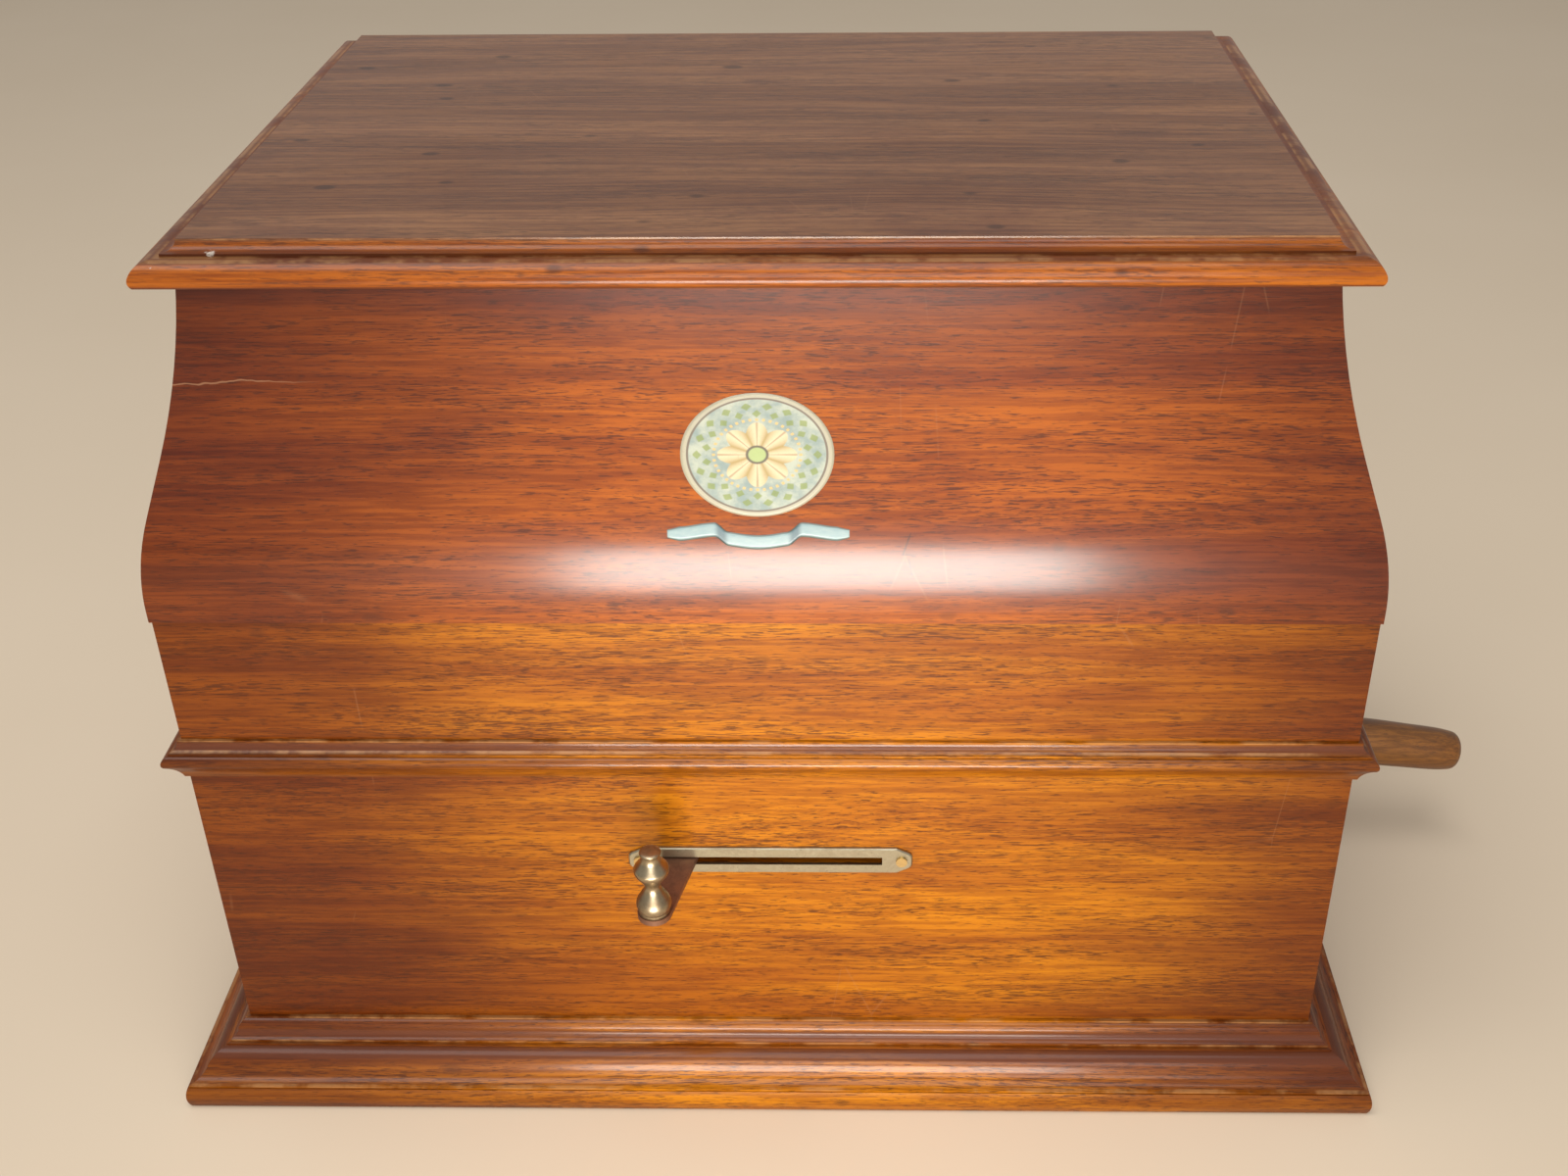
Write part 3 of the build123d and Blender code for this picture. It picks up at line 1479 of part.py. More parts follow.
# Horn: a bent throat pipe, a square duct that widens, and the open mouth under the grille
throat_plane = Plane((*arm_base, board_underside), x_dir=(1, 0, 0), z_dir=(0, 0, -1))
with BuildPart() as horn_throat:
    with BuildLine() as throat_line:
        drop = Line(
            (*arm_base, board_underside),
            (*arm_base, throat_height + throat_bend),
        )
        elbow = ThreePointArc(
            drop @ 1,
            (
                arm_base[0] - throat_bend * (1 - cos(pi / 4)),
                arm_base[1],
                throat_height + throat_bend * (1 - sin(pi / 4)),
            ),
            (arm_base[0] - throat_bend, arm_base[1], throat_height),
        )
        Line(elbow @ 1, (throat_end, arm_base[1], throat_height))
    with BuildSketch(throat_plane):
        Circle(throat_radius + throat_wall)
        Circle(throat_radius, mode=Mode.SUBTRACT)
    sweep(path=throat_line.wires()[0])
save(horn_throat.part, "horn_throat")

duct_length = duct_start + mouth_right
duct_plane = Plane((duct_start, 0, 0), x_dir=(0, -1, 0), z_dir=(-1, 0, 0))


def duct_end(shrink):
    """Sizes and place of the duct's wide end."""
    return duct_large_width - 2 * shrink, duct_large_height - 2 * shrink


with BuildPart() as horn_duct:
    for shrink, mode in ((0, Mode.ADD), (duct_wall, Mode.SUBTRACT)):
        with BuildSketch(duct_plane.offset(shrink)):
            with Locations((-duct_small_y, throat_height)):
                Rectangle(duct_small - 2 * shrink, duct_small - 2 * shrink)
        with BuildSketch(duct_plane.offset(duct_length)):
            with Locations((-duct_large_y, duct_large_z)):
                Rectangle(*duct_end(shrink))
        loft(mode=mode)
    with BuildSketch(duct_plane):
        with Locations((-duct_small_y, throat_height)):
            Circle(throat_radius + throat_wall)
    extrude(amount=duct_wall, mode=Mode.SUBTRACT)
save(horn_duct.part, "horn_duct")

with BuildPart() as horn_mouth:
    with BuildSketch(Plane.XY.offset(mouth_foot)):
        with Locations((mouth_middle, 0)):
            Rectangle(mouth_width, 2 * mouth_half_depth)
    extrude(amount=mouth_depth)
    with BuildSketch(Plane.XY.offset(mouth_foot + horn_wall)):
        with Locations((mouth_middle, 0)):
            Rectangle(mouth_width - 2 * horn_wall, 2 * (mouth_half_depth - horn_wall))
    extrude(amount=mouth_depth, mode=Mode.SUBTRACT)
    with BuildSketch(duct_plane.offset(duct_length)):
        with Locations((-duct_large_y, duct_large_z)):
            Rectangle(*duct_end(duct_wall))
    extrude(amount=horn_wall, mode=Mode.SUBTRACT)
save(horn_mouth.part, "horn_mouth")

with BuildPart() as sound_grille:
    with BuildSketch(Plane.XY.offset(board_top)):
        with Locations((mouth_middle, 0)):
            RectangleRounded(
                cut_width + 2 * grille_margin, cut_depth + 2 * grille_margin, grille_margin
            )
            with GridLocations(0, grille_pitch, 1, grille_slots):
                RectangleRounded(
                    grille_slot_length, grille_slot_width, grille_margin, mode=Mode.SUBTRACT
                )
    extrude(amount=grille_thickness)
save(sound_grille.part, "sound_grille")
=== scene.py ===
import math

import bpy
import numpy as np
from mathutils import Matrix, Vector


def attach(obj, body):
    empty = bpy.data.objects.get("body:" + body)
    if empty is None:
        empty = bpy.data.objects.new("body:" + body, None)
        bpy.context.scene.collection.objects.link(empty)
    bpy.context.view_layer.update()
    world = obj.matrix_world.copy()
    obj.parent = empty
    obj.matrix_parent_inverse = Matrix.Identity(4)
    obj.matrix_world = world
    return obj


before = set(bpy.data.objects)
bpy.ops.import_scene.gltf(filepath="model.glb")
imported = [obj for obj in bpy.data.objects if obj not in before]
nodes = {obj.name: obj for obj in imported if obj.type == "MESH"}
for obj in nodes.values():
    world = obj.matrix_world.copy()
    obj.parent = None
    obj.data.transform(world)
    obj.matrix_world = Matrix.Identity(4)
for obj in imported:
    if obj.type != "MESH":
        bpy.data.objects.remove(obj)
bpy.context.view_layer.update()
scene = bpy.context.scene
print("frame loaded:", len(nodes), "nodes")


# Camera, solved from the straight edges of the photograph; angles in degrees, lens in pixels
view = {
    "place": (0.0405, -0.7522, 0.6218),
    "yaw": -1.327,
    "pitch": 31.838,
    "roll": -0.650,
    "focal": 1814.9,
    "centre": (847.9, 602.0),
    "frame": (1600, 1200),
    "film": 36,
    "near": 0.01,
}


def aimCamera(v):
    yaw, pitch, roll = (math.radians(v[k]) for k in ("yaw", "pitch", "roll"))
    flat = math.cos(pitch)
    ahead = Vector((math.sin(yaw) * flat, math.cos(yaw) * flat, -math.sin(pitch)))
    level = Vector((math.cos(yaw), -math.sin(yaw), 0))
    raised = level.cross(ahead)
    right = math.cos(roll) * level + math.sin(roll) * raised
    up = -math.sin(roll) * level + math.cos(roll) * raised
    data = bpy.data.cameras.new("camera")
    wide, tall = v["frame"]
    data.sensor_fit = "HORIZONTAL"
    data.sensor_width = v["film"]
    data.lens = v["focal"] * v["film"] / wide
    data.shift_x = (wide / 2 - v["centre"][0]) / wide
    data.shift_y = (v["centre"][1] - tall / 2) / wide
    data.clip_start = v["near"]
    cam = bpy.data.objects.new("camera", data)
    scene.collection.objects.link(cam)
    turn = Matrix((right, up, -ahead)).transposed().to_4x4()
    cam.matrix_world = Matrix.Translation(v["place"]) @ turn
    scene.camera = cam


aimCamera(view)
scene.view_settings.view_transform = "Standard"
print("camera set")


# A socket takes a link or a plain value
def feed(tree, socket, value):
    if isinstance(value, bpy.types.NodeSocket):
        tree.links.new(value, socket)
    else:
        socket.default_value = value


# Keyword names set a node's properties, in_0 and in_Name its inputs
def addNode(tree, kind, **values):
    node = tree.nodes.new(kind)
    for key, value in values.items():
        if key.startswith("in_"):
            name = key[3:]
            feed(tree, node.inputs[int(name) if name.isdigit() else name.replace("_", " ")], value)
        else:
            setattr(node, key, value)
    return node


def maths(tree, operation, a, b=0.0, c=0.0, clamp=False):
    return addNode(
        tree, "ShaderNodeMath", operation=operation, use_clamp=clamp, in_0=a, in_1=b, in_2=c,
    ).outputs[0]


def noise(tree, vector, scale, detail=2.0, rough=0.5, distortion=0.0):
    return addNode(
        tree, "ShaderNodeTexNoise", in_Vector=vector, in_Scale=scale, in_Detail=detail,
        in_Roughness=rough, in_Distortion=distortion,
    ).outputs[0]


# Smooth step from one value to another between low and high
def ramp(tree, value, low, high, toLow=0.0, toHigh=1.0):
    return addNode(
        tree, "ShaderNodeMapRange", interpolation_type="SMOOTHSTEP",
        in_0=value, in_1=low, in_2=high, in_3=toLow, in_4=toHigh,
    ).outputs[0]


def rgb(r, g, b):
    return (r, g, b, 1.0)


def mixColor(tree, factor, a, b, blend="MIX"):
    node = addNode(tree, "ShaderNodeMix", data_type="RGBA", blend_type=blend)
    for socket, value in zip((node.inputs[0], node.inputs[6], node.inputs[7]), (factor, a, b)):
        feed(tree, socket, value)
    return node.outputs[2]


# The colour multiplied by a tint, where the factor says so
def tinted(tree, factor, color, tint):
    return mixColor(tree, factor, color, mixColor(tree, 1.0, color, rgb(*tint), "MULTIPLY"))


def stretch(tree, vector, scale, place=(0, 0, 0)):
    node = addNode(tree, "ShaderNodeMapping", in_Vector=vector, in_Scale=scale, in_Location=place)
    return node.outputs[0]


def scaled(tree, value, share):
    return maths(tree, "MULTIPLY", value, share)


# A noise value swinging evenly about zero
def centred(tree, value, reach):
    return scaled(tree, maths(tree, "SUBTRACT", value, 0.5), reach)


# Full near the middle value, fading out between inner and outer distance
def near(tree, value, middle, inner, outer, full=1):
    away = maths(tree, "ABSOLUTE", maths(tree, "SUBTRACT", value, middle))
    return ramp(tree, away, inner, outer, full, 0)


def largest(tree, parts):
    total = parts[0]
    for part in parts[1:]:
        total = maths(tree, "MAXIMUM", total, part)
    return total


def cells(tree, vector, scale=1.0, feature="F1"):
    return addNode(
        tree, "ShaderNodeTexVoronoi", feature=feature, in_Vector=vector, in_Scale=scale,
    ).outputs["Distance"]


def splitAxes(tree, vector):
    return addNode(tree, "ShaderNodeSeparateXYZ", in_0=vector).outputs


def addGroup(tree, group, vector):
    return addNode(tree, "ShaderNodeGroup", node_tree=group, in_Vector=vector)


def newGroup(name, inputs, outputs):
    group = bpy.data.node_groups.new(name, "ShaderNodeTree")
    for way, sockets in (("INPUT", inputs), ("OUTPUT", outputs)):
        for label, kind in sockets.items():
            group.interface.new_socket(label, in_out=way, socket_type="NodeSocket" + kind)
    return group, group.nodes.new("NodeGroupInput"), group.nodes.new("NodeGroupOutput")


def newMaterial(name):
    mat = bpy.data.materials.new(name)
    mat.use_nodes = True
    return mat, mat.node_tree, mat.node_tree.nodes["Principled BSDF"]


def objectPlace(tree):
    return addNode(tree, "ShaderNodeTexCoord").outputs["Object"]


def addBump(tree, shader, height, strength, distance):
    bump = addNode(
        tree, "ShaderNodeBump", in_Strength=strength, in_Distance=distance, in_Height=height,
    )
    tree.links.new(bump.outputs[0], shader.inputs["Normal"])


def dress(name, mat):
    nodes[name].data.materials.clear()
    nodes[name].data.materials.append(mat)


# Open-pored mahogany: scales per metre along and across the run of the grain
grainLook = {
    "drift": (2.2, 7, 7), "driftReach": 0.040,
    "band": (1.9, 34, 34), "bandFrom": 0.36, "bandTo": 0.64,
    "figure": (16, 520, 520), "figureFrom": 0.32, "figureTo": 0.68,
    "pores": (130, 2000, 2000), "poresFrom": 0.53, "poresTo": 0.63,
    "field": (9, 90, 90), "fieldPlace": (3, 1, 7), "fieldReach": 0.34,
    "spots": (26, 44, 44), "spotPatch": 31, "spotSize": 0.20,
    "scars": (34, 11, 8), "scarWidth": 0.012, "scarPatch": 17,
}


# Grain running along the group's own X, which drifts a little across its run
def makeGrainGroup(g):
    names = ("Band", "Figure", "Pores", "Spots", "Scratches")
    group, start, end = newGroup("grain", {"Vector": "Vector"}, {n: "Float" for n in names})
    place = start.outputs["Vector"]
    drift = scaled(group, noise(group, stretch(group, place, g["drift"]), 1, 2), g["driftReach"])
    bent = addNode(group, "ShaderNodeCombineXYZ", in_1=drift).outputs[0]
    moved = addNode(
        group, "ShaderNodeVectorMath", operation="ADD", in_0=place, in_1=bent,
    ).outputs[0]
    band = noise(group, stretch(group, moved, g["band"]), 1, 4, 0.62, 0.3)
    figure = noise(group, stretch(group, moved, g["figure"]), 1, 4, 0.66)
    pores = noise(group, stretch(group, moved, g["pores"]), 1, 2.5, 0.6, 0.4)
    # pores gather in fields
    field = noise(group, stretch(group, moved, g["field"], g["fieldPlace"]), 1, 3)
    pores = maths(group, "ADD", pores, centred(group, field, g["fieldReach"]))
    # round dark spots of uneven size
    size = scaled(group, noise(group, place, g["spotPatch"], 2), g["spotSize"])
    dots = cells(group, stretch(group, place, g["spots"]))
    spots = ramp(group, maths(group, "SUBTRACT", dots, size), -0.05, 0.02, 1, 0)
    # scratches are cell edges, kept only in a few patches
    rare = ramp(group, noise(group, place, g["scarPatch"], 3), 0.62, 0.68)
    edges = cells(group, stretch(group, place, g["scars"]), feature="DISTANCE_TO_EDGE")
    scars = scaled(group, ramp(group, edges, 0.0, g["scarWidth"], 1, 0), rare)
    bands = ramp(group, band, g["bandFrom"], g["bandTo"])
    figures = ramp(group, figure, g["figureFrom"], g["figureTo"])
    gathered = ramp(group, pores, g["poresFrom"], g["poresTo"])
    for label, value in zip(names, (bands, figures, gathered, spots, scars)):
        group.links.new(value, end.inputs[label])
    return group


grainGroup = makeGrainGroup(grainLook)


# Arris lines: thin level lines at the given heights, broken by noise
def makeLineGroup(name, heights, halfWidth):
    group, start, end = newGroup(name, {"Vector": "Vector"}, {"Mask": "Float"})
    place = start.outputs[0]
    up = splitAxes(group, place)[2]
    lines = [near(group, up, height, halfWidth * 0.5, halfWidth) for height in heights]
    broken = noise(group, stretch(group, place, (40, 40, 9)), 1, 4, 0.7)
    mask = scaled(group, largest(group, lines), ramp(group, broken, 0.40, 0.60))
    group.links.new(mask, end.inputs[0])
    return group


grainTurns = {"x": (0, 0, 0), "y": (0, 0, math.pi / 2), "z": (0, math.pi / 2, 0)}


def addGrain(tree, place, along, shift=(0, 0, 0)):
    turned = addNode(
        tree, "ShaderNodeMapping", in_Vector=place, in_Rotation=grainTurns[along], in_Location=shift,
    ).outputs[0]
    return addGroup(tree, grainGroup, turned).outputs


# What age has done to the varnish, and the painted shade that darkens the ends and the hollows; ends
# are measured outwards from the middle of the front
ageAndShade = {
    "figureTint": (0.52, 0.40, 0.40),
    "stain": (6, 6, 17), "stainPlace": (2, 5, 1), "stainShare": 0.75, "stainTint": (0.60, 0.46, 0.50),
    "blotch": (8, 8, 15), "blotchReach": 0.11,
    "endShadeMiddle": 0.03, "endShadeFrom": 0.05, "endShadeTo": 0.245,
    "spotColor": (0.03, 0.008, 0.003), "scarColor": (0.30, 0.14, 0.06),
    "dustAndShade": (7, 7, 7), "dustRough": 0.10, "figureRough": 0.06,
    "hollowShadeColor": (0.085, 0.022, 0.008), "hollowRough": 0.15,
    "lineColor": (0.50, 0.26, 0.10), "lineShare": 0.40,
    "figureHeight": 0.35, "bump": 0.09, "bumpDepth": 0.0004,
}


# Varnished mahogany: bands between two tones, fine dark lines, short pores, and ends painted darker
# and redder as shade
def woodMaterial(spec):
    mat, tree, shader = newMaterial(spec["name"])
    place = objectPlace(tree)
    grain = addGrain(tree, place, spec["along"], spec.get("shift", (0, 0, 0)))
    across, up = (splitAxes(tree, place)[k] for k in (0, 2))
    color = mixColor(tree, grain["Band"], rgb(*spec["mid"]), rgb(*spec["light"]))
    if "rim" in spec:
        # the moulded edge of the top is warmer than its field
        rim = spec["rim"]
        warmer = mixColor(tree, grain["Band"], rgb(*rim["mid"]), rgb(*rim["light"]))
        color = mixColor(tree, ramp(tree, up, rim["low"], rim["high"], 1, 0), color, warmer)
    soft = scaled(tree, ramp(tree, grain["Figure"], 0.1, 0.9, 1, 0), spec["figure"])
    color = tinted(tree, soft, color, ageAndShade["figureTint"])
    # old stains and uneven polish
    stain = noise(tree, stretch(tree, place, ageAndShade["stain"], ageAndShade["stainPlace"]), 1, 5, 0.68)
    color = tinted(
        tree, ramp(tree, stain, 0.50, 0.72, 0, ageAndShade["stainShare"]), color, ageAndShade["stainTint"],
    )
    # painted shade: the ends are darker and redder, standing in for light falling off away from the
    # middle, with a noisy border
    if "end" in spec:
        blotch = noise(tree, stretch(tree, place, ageAndShade["blotch"]), 1, 4, 0.6)
        away = maths(tree, "ABSOLUTE", maths(tree, "SUBTRACT", across, ageAndShade["endShadeMiddle"]))
        away = maths(tree, "ADD", away, centred(tree, blotch, ageAndShade["blotchReach"]))
        color = tinted(tree, ramp(tree, away, ageAndShade["endShadeFrom"], ageAndShade["endShadeTo"]), color, spec["end"])
    # painted shade: darker towards the top of the lid front, under the overhang of the top
    if "overhangShade" in spec:
        low, high, tint = spec["overhangShade"]
        color = tinted(tree, ramp(tree, up, low, high), color, tint)
    for label, share, tone in (
        ("Pores", spec["pores"], spec["dark"]),
        ("Spots", spec["spots"], ageAndShade["spotColor"]),
        ("Scratches", spec["scars"], ageAndShade["scarColor"]),
    ):
        color = mixColor(tree, scaled(tree, grain[label], share), color, rgb(*tone))
    rough = maths(tree, "ADD", spec["rough"], scaled(tree, grain["Figure"], ageAndShade["figureRough"]))
    dustAndShade = noise(tree, stretch(tree, place, ageAndShade["dustAndShade"]), 1, 5, 0.65)
    rough = maths(tree, "ADD", rough, ramp(tree, dustAndShade, 0.45, 0.75, 0, ageAndShade["dustRough"]))
    if "coves" in spec:
        # painted shade: the hollows between two heights each are darkened, broken up by the dust
        # noise
        hollows = []
        for low, high in spec["coves"]:
            half = (high - low) / 2
            hollows.append(near(tree, up, (low + high) / 2, half * 0.4, half))
        hollow = scaled(tree, largest(tree, hollows), ramp(tree, dustAndShade, 0.30, 0.60, 0.45, 0.85))
        color = mixColor(tree, hollow, color, rgb(*ageAndShade["hollowShadeColor"]))
        rough = maths(tree, "ADD", rough, scaled(tree, hollow, ageAndShade["hollowRough"]))
    if "lines" in spec:
        lines = addGroup(tree, spec["lines"], place).outputs[0]
        color = mixColor(tree, scaled(tree, lines, ageAndShade["lineShare"]), color, rgb(*ageAndShade["lineColor"]))
    for mask, look in spec.get("marks", ()):
        color = mixColor(tree, mask(tree, place, look), color, rgb(*look["tint"]))
    tree.links.new(color, shader.inputs["Base Color"])
    tree.links.new(rough, shader.inputs["Roughness"])
    height = scaled(tree, grain["Pores"], -1.0)
    height = maths(tree, "ADD", height, scaled(tree, grain["Figure"], ageAndShade["figureHeight"]))
    addBump(tree, shader, height, ageAndShade["bump"], ageAndShade["bumpDepth"])
    shader.inputs["IOR"].default_value = 1.5
    shader.inputs["Specular IOR Level"].default_value = spec["gleam"]
    shader.inputs["Coat Weight"].default_value = spec["coat"]
    shader.inputs["Coat Roughness"].default_value = spec["coatRough"]
    return mat


crack = {
    "height": 0.3385, "wobble": 0.006, "core": 0.0001, "edge": 0.0004,
    "from": -0.190, "to": -0.160, "share": 0.7, "tint": (0.25, 0.12, 0.06),
}


# A fine open line across the lid's left end, wavering about one height
def hairCrack(tree, place, look):
    across, _, up = splitAxes(tree, place)
    level = maths(tree, "ADD", up, centred(tree, noise(tree, place, 60, 3), look["wobble"]))
    line = near(tree, level, look["height"], look["core"], look["edge"])
    return scaled(tree, line, ramp(tree, across, look["from"], look["to"], look["share"], 0))


nicks = {
    "places": (
        {"x": 0.0560, "z": 0.2790, "lean": 0.35, "long": 0.0050, "wide": 0.0007},
        {"x": 0.0575, "z": 0.2700, "lean": -0.2, "long": 0.0042, "wide": 0.0009},
    ),
    "share": 0.75, "tint": (0.035, 0.010, 0.004),
}


# Short dark nicks on the swell, right of the middle, each with torn sides
def swellNicks(tree, place, look):
    x, _, z = splitAxes(tree, place)
    parts = []
    for nick in look["places"]:
        long, wide = nick["long"], nick["wide"]
        up = maths(tree, "SUBTRACT", z, nick["z"])
        across = maths(tree, "SUBTRACT", x, nick["x"])
        across = maths(tree, "SUBTRACT", across, scaled(tree, up, nick["lean"]))
        torn = scaled(tree, noise(tree, place, 500, 3, 0.7), wide)
        away = maths(tree, "ADD", maths(tree, "ABSOLUTE", across), torn)
        side = ramp(tree, away, wide * 0.6, wide * 1.3, 1, 0)
        tip = ramp(tree, maths(tree, "ABSOLUTE", up), long * 0.7, long, look["share"], 0)
        parts.append(scaled(tree, side, tip))
    return largest(tree, parts)


chips = {
    "places": (
        {"at": (-0.197, -0.1450, 0.3895), "size": 0.0050},
        {"at": (-0.217, -0.1510, 0.3840), "size": 0.0042},
    ),
    "share": 0.8, "tint": (0.62, 0.56, 0.48),
}


# Pale chips near the front left corner of the top
def cornerChips(tree, place, look):
    parts = []
    for chip in look["places"]:
        size = chip["size"]
        gap = addNode(
            tree, "ShaderNodeVectorMath", operation="DISTANCE", in_0=place, in_1=chip["at"],
        ).outputs["Value"]
        torn = scaled(tree, noise(tree, place, 420, 4, 0.7), size * 1.5)
        parts.append(
            ramp(tree, maths(tree, "ADD", gap, torn), size, size * 1.25, look["share"], 0)
        )
    return largest(tree, parts)


warm = {"light": (0.43, 0.146, 0.0002), "mid": (0.26, 0.068, 0.0002), "dark": (0.040, 0.008, 0.001)}
glowing = {
    "light": (0.34, 0.080, 0.0002), "mid": (0.185, 0.032, 0.0002), "dark": (0.034, 0.006, 0.001),
}
redder = {"light": (0.28, 0.066, 0.003), "mid": (0.17, 0.035, 0.002), "dark": (0.035, 0.008, 0.002)}
brown = {
    "light": (0.250, 0.108, 0.042), "mid": (0.175, 0.068, 0.024), "dark": (0.045, 0.015, 0.007),
}

# What each family of pieces adds: pale lines along the arrises and painted shade in the hollows, by
# height, and a darker middle tone
families = {
    "plinth": {
        "lines": makeLineGroup("plinthLines", (0.0117, 0.0239, 0.0320), 0.0006),
        "coves": ((0.0195, 0.0232), (0.0245, 0.0285)), "deeper": 0.85,
    },
    "moulding": {
        "lines": makeLineGroup("mouldLines", (0.1842, 0.1880), 0.0005),
        "coves": ((0.1836, 0.1878),), "deeper": 0.75,
    },
}

# Every piece starts from the usual polish, then takes what its own row says
polish = {
    "figure": 0.65, "pores": 0.72, "spots": 0.30, "scars": 0.16,
    "rough": 0.36, "gleam": 0.14, "coat": 0.34, "coatRough": 0.16,
}
# an end entry is the tint of the painted shade at that piece's ends
woods = {
    "front_panel": {**warm, "along": "x", "end": (0.38, 0.25, 0.8)},
    "back_panel": {**redder, "along": "x", "shift": (0.3, 0.2, 0.1)},
    "left_panel": {**redder, "along": "y", "coat": 0.22},
    "right_panel": {**redder, "along": "y", "coat": 0.22, "shift": (0.1, 0.4, 0)},
    "lid_front": {
        **glowing, "along": "x", "end": (0.40, 0.30, 0.9), "shift": (0.5, 0.1, 0.31),
        # overhangShade darkens the top of the lid front as painted shade under the top's overhang
        "overhangShade": (0.335, 0.378, (0.72, 0.64, 1.2)), "coat": 0.60, "coatRough": 0.19,
        "marks": ((hairCrack, crack), (swellNicks, nicks)),
    },
    "lid_back": {**redder, "along": "x", "shift": (0.7, 0.3, 0.2)},
    "lid_left": {**redder, "along": "y", "coat": 0.22, "shift": (0.2, 0.6, 0.1)},
    "lid_right": {**redder, "along": "y", "coat": 0.22, "shift": (0.5, 0.3, 0.3)},
    "plinth_front": {**warm, "along": "x", "end": (0.5, 0.4, 0.9), "shift": (0.9, 0, 0.1)},
    "plinth_back": {**redder, "along": "x"},
    "plinth_left": {**redder, "along": "y", "coat": 0.22},
    "plinth_right": {**redder, "along": "y", "coat": 0.22},
    "moulding_front": {**warm, "along": "x", "end": (0.45, 0.35, 0.9), "shift": (0.2, 0, 0.6)},
    "moulding_left": {**redder, "along": "y", "coat": 0.22},
    "moulding_right": {**redder, "along": "y", "coat": 0.22},
    "lid_top": {
        **brown, "along": "x", "marks": ((cornerChips, chips),), "coat": 0.38, "coatRough": 0.20,
        "pores": 0.6, "spots": 0.65, "figure": 0.75,
        "lines": makeLineGroup("topLines", (0.3866, 0.3914), 0.0004),
        "coves": ((0.3858, 0.3884), (0.3770, 0.3790)),
        "rim": {
            "low": 0.3900, "high": 0.3914, "mid": (0.21, 0.045, 0.002), "light": (0.37, 0.098, 0.002),
        },
    },
}
for name, own in woods.items():
    spec = {"name": "mahogany_" + name, **polish, **families.get(name.split("_")[0], {}), **own}
    if "deeper" in spec:
        spec["mid"] = tuple(c * spec["deeper"] for c in spec["mid"])
    dress(name, woodMaterial(spec))
print("case wood done")


# Plain or varnished wood of the hidden boards and of the grip
def innerWood(spec):
    mat, tree, shader = newMaterial(spec["name"])
    grain = addGrain(tree, objectPlace(tree), spec["along"])
    dark = rgb(*spec["dark"])
    color = mixColor(tree, grain["Band"], rgb(*spec["mid"]), rgb(*spec["light"]))
    soft = scaled(tree, ramp(tree, grain["Figure"], 0.2, 0.9, 1, 0), 0.45)
    color = mixColor(tree, soft, color, dark)
    color = mixColor(tree, scaled(tree, grain["Pores"], 0.5), color, dark)
    tree.links.new(color, shader.inputs["Base Color"])
    rough = maths(tree, "ADD", spec["rough"], scaled(tree, grain["Figure"], 0.1))
    tree.links.new(rough, shader.inputs["Roughness"])
    height = maths(tree, "SUBTRACT", grain["Figure"], grain["Pores"])
    addBump(tree, shader, height, 0.12, ageAndShade["bumpDepth"])
    shader.inputs["Coat Weight"].default_value = spec.get("coat", 0.0)
    shader.inputs["Coat Roughness"].default_value = 0.2
    return mat


ply = {"light": (0.46, 0.31, 0.17), "mid": (0.36, 0.23, 0.12), "dark": (0.20, 0.11, 0.05)}
innerWoods = {
    "motor_board": {
        "along": "x", "light": (0.34, 0.12, 0.04), "mid": (0.22, 0.07, 0.02),
        "dark": (0.08, 0.02, 0.01), "rough": 0.4, "coat": 0.3,
    },
    "bottom_board": {
        "along": "x", "light": (0.50, 0.34, 0.19), "mid": (0.38, 0.24, 0.12),
        "dark": (0.20, 0.11, 0.05), "rough": 0.65,
    },
    "inner_blocks": {
        "along": "x", "light": (0.50, 0.34, 0.19), "mid": (0.40, 0.25, 0.13),
        "dark": (0.22, 0.12, 0.06), "rough": 0.65,
    },
    "horn_mouth": {**ply, "along": "y", "rough": 0.6},
    "horn_duct": {**ply, "along": "x", "rough": 0.6},
    "crank_grip": {
        "along": "x", "light": (0.24, 0.088, 0.010), "mid": (0.155, 0.052, 0.007),
        "dark": (0.050, 0.016, 0.004), "rough": 0.36, "coat": 0.15,
    },
}
for name, spec in innerWoods.items():
    dress(name, innerWood({"name": "wood_" + name, **spec}))
print("inner wood done")


# Tarnish clouds, fine scratches and dark freckles, shared by all metals
def makeTarnishGroup():
    names = ("Cloud", "Freckles", "Brushed")
    group, start, end = newGroup(
        "tarnish", {"Vector": "Vector", "Size": "Float"}, {n: "Float" for n in names},
    )
    place = addNode(
        group, "ShaderNodeVectorMath", operation="SCALE",
        in_0=start.outputs["Vector"], in_3=start.outputs["Size"],
    ).outputs[0]
    cloud = ramp(group, noise(group, place, 90, 5, 0.65, 0.3), 0.35, 0.68)
    freckles = ramp(group, noise(group, place, 900, 3, 0.7), 0.60, 0.72)
    brushed = noise(group, stretch(group, place, (120, 3000, 3000)), 1, 2, 0.6)
    for label, value in zip(names, (cloud, freckles, brushed)):
        group.links.new(value, end.inputs[label])
    return group


tarnishGroup = makeTarnishGroup()


